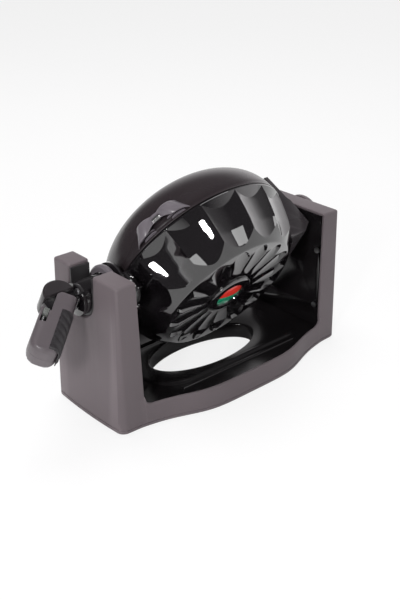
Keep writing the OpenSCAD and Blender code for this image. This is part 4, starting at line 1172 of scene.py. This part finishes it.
# %% Grip frame and slices
GRIP_TURN = math.radians(223)
pin_place = Matrix.Translation(Vector(joints["handle_fold"]["pos_m"]))
GRIP = pin_place @ IRON.to_3x3().to_4x4() @ Matrix.Rotation(GRIP_TURN, 4, "Y")
GRIP_HALF_Y = 14.0
GRIP_HALF_Z = 14.6
GRIP_EDGE = 6.5
GRIP_END = 65.0
END_EDGE = 5.0
TIP_R = 12.0
ROOT_R = 5.2
CAP_CLEAR = 21.0
LIP_X = 10.0
LIP_DROP = 0.7
FORK_HALF = 9.45
FORK_END = 18.5
SPLIT_HALF = 0.12


def slice_ends(z):
    """First and last x of a slice."""
    if z > ROOT_R:
        first = math.sqrt(CAP_CLEAR**2 - z * z)
    elif z > 0:
        first = -math.sqrt(max(0.0, ROOT_R**2 - z * z))
    else:
        first = -ROOT_R
    corner = max(0.0, abs(z) - (GRIP_HALF_Z - TIP_R))
    return first, GRIP_END - TIP_R + math.sqrt(max(0.0, TIP_R**2 - corner * corner))


print("grip", GRIP_END + ROOT_R, "mm long,", 2 * GRIP_HALF_Y, "x", 2 * GRIP_HALF_Z, "mm")

# %% Grip slices
WINDOW_X = (17.7, 34.2)
WINDOW_Z = (6.6, 12.4)
WINDOW_FLOOR = 5.4
WINDOW_STEP = 0.05
GRIP_X = [-ROOT_R, -4, -2, 0, 3, 6, 9, LIP_X - 0.3, LIP_X, LIP_X + 0.5, 13]
GRIP_X += [WINDOW_X[0] - WINDOW_STEP, WINDOW_X[0] + WINDOW_STEP, 22, 28]
GRIP_X += [WINDOW_X[1] - WINDOW_STEP, WINDOW_X[1] + WINDOW_STEP]
GRIP_X += [38, 44, 50, 54, 57, 59, 61, 62.5, 63.7, 64.5, 64.9, GRIP_END]


def in_window(x, z, margin=0.0):
    """Whether a point of the face lies over the slider's window."""
    along_it = WINDOW_X[0] - margin < x < WINDOW_X[1] + margin
    return along_it and WINDOW_Z[0] - margin < z < WINDOW_Z[1] + margin


def grip_slice(z, windowed):
    """One closed slice at height z: out along the face, back along the split."""
    first, last = slice_ends(z)
    edge = max(0.0, abs(z) - (GRIP_HALF_Z - GRIP_EDGE))
    drop = GRIP_EDGE - math.sqrt(max(0.0, GRIP_EDGE**2 - edge * edge))
    face, split = [], []
    for x in GRIP_X:
        x = min(max(x, first), last)
        bend = max(0.0, 1 - (last - x) / END_EDGE)
        y = GRIP_HALF_Y - drop - END_EDGE * (1 - math.sqrt(max(0.0, 1 - bend * bend)))
        if x < LIP_X:
            y -= LIP_DROP
        if windowed and in_window(x, z):
            y = WINDOW_FLOOR
        inner = FORK_HALF if x < FORK_END else SPLIT_HALF
        face.append((x, max(y, inner), z))
        split.append((x, inner, z))
    return face + split[::-1]


print("points of a slice:", len(grip_slice(0, False)))

# %% Grip shells
CUT_STEP = 0.03
SLICES_Z = [-14.6, -14.45, -14.1, -13.4, -12.3, -10.8, -9, -6, -2, 2, 5]
for cut in (WINDOW_Z[0], ROOT_R, WINDOW_Z[1]):
    SLICES_Z += [cut - CUT_STEP, cut + CUT_STEP]
SLICES_Z += [9.5, 10.8, 13.4, 14.1, 14.45, 14.6]
SLICES_Z.sort()
WINDOW_DEEP = (1, 13)
WINDOW_MARGIN = 0.1


def grip_shell(hand):
    """One shell, as slices from the post's side to the cap's side; hand 1 has the window."""
    slices = [grip_slice(z, hand > 0) for z in SLICES_Z]
    return skinned([[(x, hand * y, z) for x, y, z in ring] for ring in slices], True, True)


def paint_window_shade(skin):
    """The floor of the window gets the black moulding: painted shade for the dark depth of the opening."""
    for face in skin.faces:
        x, y, z = face.calc_center_median() / MM
        if in_window(x, z, WINDOW_MARGIN) and WINDOW_DEEP[0] < y < WINDOW_DEEP[1]:
            face.material_index = 1


upper = piece(
    "grip_upper", [grip_shell(1)], GRIP, "grip", "grip_plastic", ["grip_upper_shell"],
    crisp=30, form=paint_window_shade,
)
# The black moulding on the window's floor is painted shade for the deep opening.
upper.data.materials.append(finishes["dark_plastic"])
piece(
    "grip_lower", [grip_shell(-1)], GRIP, "grip", "grip_plastic", ["grip_lower_shell"], crisp=30
)

# %% [markdown]
# ## The rib pad
# A dark pad with slanted ribs wraps one edge of the grip, so that a thumb holds. It is
# made as a softer plastic that is clipped round the shells. The ribs could be a bump in
# the finish, but they show in outline along the edge, so the pad is a strip of sections
# along the grip, and a wave that runs aslant lifts each section's points.

# %% Rib pad
PAD_X = (14.0, 61.0)
PAD_STEPS = 118
PAD_THICK = 1.0
PAD_FADE = 1.5
EDGE_POINTS = 8
RIB_PITCH = 8.2
RIB_SLANT = 0.62
RIB_LOW = 0.25
RIB_HIGH = 1.0
RIB_STEEP = 1.6
RIB_WIDE = 0.9
PAD_PROUD = 0.05


def pad_path():
    """Points of the pad's section on the grip, from its lower side round the edge to its face."""
    run = 0.0
    places = [(y, -GRIP_HALF_Z, 0.0, -1.0) for y in (-8, -4, 0, 4, GRIP_HALF_Y - GRIP_EDGE)]
    for step in range(1, EDGE_POINTS + 1):
        a = math.radians(-90 + step * 90 / EDGE_POINTS)
        places.append((
            GRIP_HALF_Y - GRIP_EDGE + GRIP_EDGE * math.cos(a),
            GRIP_EDGE - GRIP_HALF_Z + GRIP_EDGE * math.sin(a), math.cos(a), math.sin(a),
        ))
    places += [(GRIP_HALF_Y, z, 1.0, 0.0) for z in (-6.5, -5.0, -3.6)]
    for i, (y, z, ny, nz) in enumerate(places):
        if i:
            run += math.hypot(y - places[i - 1][0], z - places[i - 1][1])
        yield y, z, ny, nz, run


def pad_ring(x):
    """One section of the pad: its ribs rise and fall along a slanted line."""
    path = list(pad_path())
    whole = path[-1][4]
    skin = []
    for y, z, ny, nz, run in path:
        wave = math.sin(2 * math.pi * (x + RIB_SLANT * run) / RIB_PITCH)
        fade = ease(min(x - PAD_X[0], PAD_X[1] - x, run, whole - run) / PAD_FADE)
        high = (RIB_LOW + RIB_HIGH * ease(wave * RIB_STEEP + RIB_WIDE)) * fade + PAD_PROUD
        skin.append((x, y + ny * high, z + nz * high))
    back = [(x, y - ny * PAD_THICK, z - nz * PAD_THICK) for y, z, ny, nz, _ in reversed(path)]
    return skin + back


pad_rings = [pad_ring(blend(*PAD_X, step / PAD_STEPS)) for step in range(PAD_STEPS + 1)]
piece(
    "thumb_pad", [skinned(pad_rings, True, True)], GRIP, "grip", "pad_plastic",
    ["grip_rib_pad"], crisp=50,
)

# %% [markdown]
# ## The thrust collar
# A grey collar on the axle keeps the iron off the left post. It could stay a plain turned
# ring, but its rounded outer edge and the slope towards the post catch the light beside
# the hub, so it is turned from its outline like the dome.

# %% Thrust collar
COLLAR_R = 24.0
COLLAR_BORE = 17.6
COLLAR_STEPS = 96
collar_low, collar_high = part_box("thrust_collar")
left, right = collar_low.x / MM, collar_high.x / MM
axle_point = Matrix.Translation((0, axis_point.y, axis_point.z))
AXLE = axle_point @ Matrix.Rotation(math.radians(90), 4, "Y")

collar_rings = turned([
    (COLLAR_BORE, right), (COLLAR_R - 1.2, right), (COLLAR_R - 0.4, right - 0.3),
    (COLLAR_R, right - 1.2), (COLLAR_R, left + 2.6), (COLLAR_R - 0.5, left + 1.3),
    (COLLAR_R - 2.0, left), (COLLAR_BORE, left),
], COLLAR_STEPS)
collar_rings.append(collar_rings[0])
print("collar from", round(left, 1), "to", round(right, 1), "mm along the axle")
piece(
    "thrust_ring", [skinned(collar_rings)], AXLE, "fluted_half", "collar_grey",
    ["thrust_collar"], crisp=40,
)

# %% [markdown]
# ## The solids that stay
# The other solids already have their true shapes, so there is nothing to draw again.
# They keep them, get the finish of their slot, and their hard edges are rounded a little,
# because no moulded or turned edge is sharp.

# %% Finish the remaining solids
slot_of = {part["node"]: part["material_slot"] for part in record["subparts"]}
OWN_FINISH = {"handle_cap": "cap", "hinge_bracket": "hinge", "hinge_lug": "hinge"}
ROUNDING = {"hinge_bracket": 0.8, "handle_arm": 0.7, "handle_cap": 0.6, "indicator_bezel": 0.5}
USUAL_ROUNDING = 0.25

for name, solid in frame["nodes"].items():
    solid.data.materials.clear()
    solid.data.materials.append(finishes[OWN_FINISH.get(name, slot_of[name])])
    if not solid.hide_render:
        solid.data.polygons.foreach_set("use_smooth", [True] * len(solid.data.polygons))
        soften(solid, ROUNDING.get(name, USUAL_ROUNDING), weld=True)
print("solids kept:", sum(not solid.hide_render for solid in frame["nodes"].values()))

# %% [markdown]
# ## Studio
# The machine stands on a pale floor in a white room. A polished black shows its
# surroundings more than its own colour, so they are set out with care: the room that it
# mirrors is bright low down on the right and dark overhead, and the floor near the
# machine mirrors as dark, so the scoops stay black and the petals turn grey. A plain
# white room would be simpler, but it would wash the lacquer out.

# %% Room
SKY_LIGHT = (0.27, 0.27, 0.27)
FAR_WALL = (0.1, 0.097, 0.1)
BRIGHT_WALL = (1.25, 1.22, 1.24)
WHITE = (1, 1, 1)
WALL_EAST = (0.15, 0.75)
WALL_TOP = (0.3, 0.62)
DARK_ABOVE = 0.8


def axis_of(tree, place, axis):
    return tree.node("ShaderNodeSeparateXYZ", None, {0: place}, axis)


def ray_is(tree, kind):
    """1 for rays of a kind, such as Camera or Glossy."""
    return tree.node("ShaderNodeLightPath", output=f"Is {kind} Ray")


def white_room():
    """A world that lights softly; polished surfaces see a white wall on the right of it."""
    world = bpy.data.worlds.new("white room")
    world.use_nodes = True
    bpy.context.scene.world = world
    room = Graph(world.node_tree)
    place = room.node("ShaderNodeTexCoord", output="Generated")
    low_down = 1 - room.ramp(axis_of(room, place, "Z"), *WALL_TOP) * DARK_ABOVE
    wall = room.ramp(axis_of(room, place, "X"), *WALL_EAST) * low_down
    light = room.mixed(ray_is(room, "Glossy"), SKY_LIGHT, room.mixed(wall, FAR_WALL, BRIGHT_WALL))
    seen = room.mixed(ray_is(room, "Camera") + ray_is(room, "Transmission"), light, WHITE)
    glow = room.node("ShaderNodeBackground", None, {"Color": seen})
    room.node("ShaderNodeOutputWorld", None, {"Surface": glow})


white_room()
print("room light", SKY_LIGHT[0])

# %% Floor
FLOOR_HALF = 4.0
FLOOR_TONES = ((0.86, 0.85, 0.86), (0.9, 0.89, 0.9))
FLOOR_GLOW = 0.82
MIRRORED_EAST = (0.12, 0.32)
MIRRORED_ROUND = (0.075, 0.13)
NARROWED = (0.5, 1.0, 0.0)


def floor_finish():
    """Pale to the eye; in the lacquer it glows only on the right and away from the machine."""
    finish = Finish("pale floor", Roughness=0.6, Specular_IOR_Level=0.2)
    finish.set(Base_Color=finish.mixed(finish.noise(3, 2), *FLOOR_TONES))
    reach = finish.node(
        "ShaderNodeVectorMath", {"operation": "LENGTH"}, {0: finish.place * NARROWED}, "Value"
    )
    east = axis_of(finish, finish.place, "X") * 0.5 + 0.5
    near = finish.ramp(east, *MIRRORED_EAST) * finish.ramp(reach, *MIRRORED_ROUND)
    glowing = ray_is(finish, "Camera") * FLOOR_GLOW + ray_is(finish, "Glossy") * near
    glow = finish.node("ShaderNodeEmission")
    blended = finish.node("ShaderNodeMixShader", None, {0: glowing, 1: finish.surface, 2: glow})
    finish.plug(finish.output.node.inputs["Surface"], blended)
    return finish.material


def pale_floor():
    mesh = bpy.data.meshes.new("floor")
    square = ((-1, -1), (1, -1), (1, 1), (-1, 1))
    corners = [(x * FLOOR_HALF, y * FLOOR_HALF, 0) for x, y in square]
    mesh.from_pydata(corners, [], [(0, 1, 2, 3)])
    mesh.materials.append(floor_finish())
    floor = bpy.data.objects.new("floor", mesh)
    bpy.context.scene.collection.objects.link(floor)


pale_floor()
print("floor", 2 * FLOOR_HALF, "m wide")

# %% [markdown]
# Four soft boxes light the machine. Two wide ones, overhead and on the left, light the
# matt mouldings; the lacquer doesn't mirror them, or it would turn white on top. The
# small oval key draws a short bright highlight in two of the scoops, and the panel in
# front gives the grey patches beside them.

# %% Soft boxes
def soft_box(name, direction, distance, size, power, shape="RECTANGLE", mirrored=True):
    """A soft box that looks at the iron from a direction."""
    light = bpy.data.lights.new(name, "AREA")
    light.shape = shape
    light.size, light.size_y = size
    light.energy = power
    made = bpy.data.objects.new(name, light)
    toward = Vector(direction).normalized()
    made.location = iron_centre + toward * distance
    made.rotation_mode = "QUATERNION"
    made.rotation_quaternion = toward.to_track_quat("Z", "Y")
    made.visible_glossy = mirrored
    bpy.context.scene.collection.objects.link(made)
    print(name, power, "W")


soft_box("overhead", (0.1, 0.3, 1.0), 1.6, (1.0, 1.0), 22, mirrored=False)
soft_box("left fill", (-1.0, -0.1, 0.25), 1.6, (0.8, 0.8), 6, mirrored=False)
soft_box("key", (-0.765, -0.475, 0.43), 1.3, (0.13, 0.2), 7, "ELLIPSE")
soft_box("front panel", (0.2, -0.82, 0.54), 1.3, (0.75, 0.4), 3.2)

# %% [markdown]
# ## Camera
# The machine is looked at from the front left and a little above, from about a metre. A
# longer lens from further off would flatten it; this one lets the left post come forward.

# %% Camera
AZIMUTH = math.radians(-41.7)
ELEVATION = math.radians(26.4)
DISTANCE = 0.98
SENSOR_WIDTH = 36.0
FOCAL_LENGTH = 56.0
LOOK_LEFT = 5.6
LOOK_UP = 78.2

back = Vector((
    math.sin(AZIMUTH) * math.cos(ELEVATION),
    -math.cos(AZIMUTH) * math.cos(ELEVATION),
    math.sin(ELEVATION),
))
look_at = Vector((STAND_X - LOOK_LEFT * MM, STAND_Y, LOOK_UP * MM))
lens = bpy.data.cameras.new("camera")
lens.sensor_width = SENSOR_WIDTH
lens.lens = FOCAL_LENGTH
camera = bpy.data.objects.new("camera", lens)
camera.location = look_at + back * DISTANCE
camera.rotation_mode = "QUATERNION"
camera.rotation_quaternion = back.to_track_quat("Z", "Y")
bpy.context.scene.collection.objects.link(camera)
bpy.context.scene.camera = camera
bpy.context.scene.view_settings.view_transform = "Standard"
print("camera at", [round(c, 3) for c in camera.location])
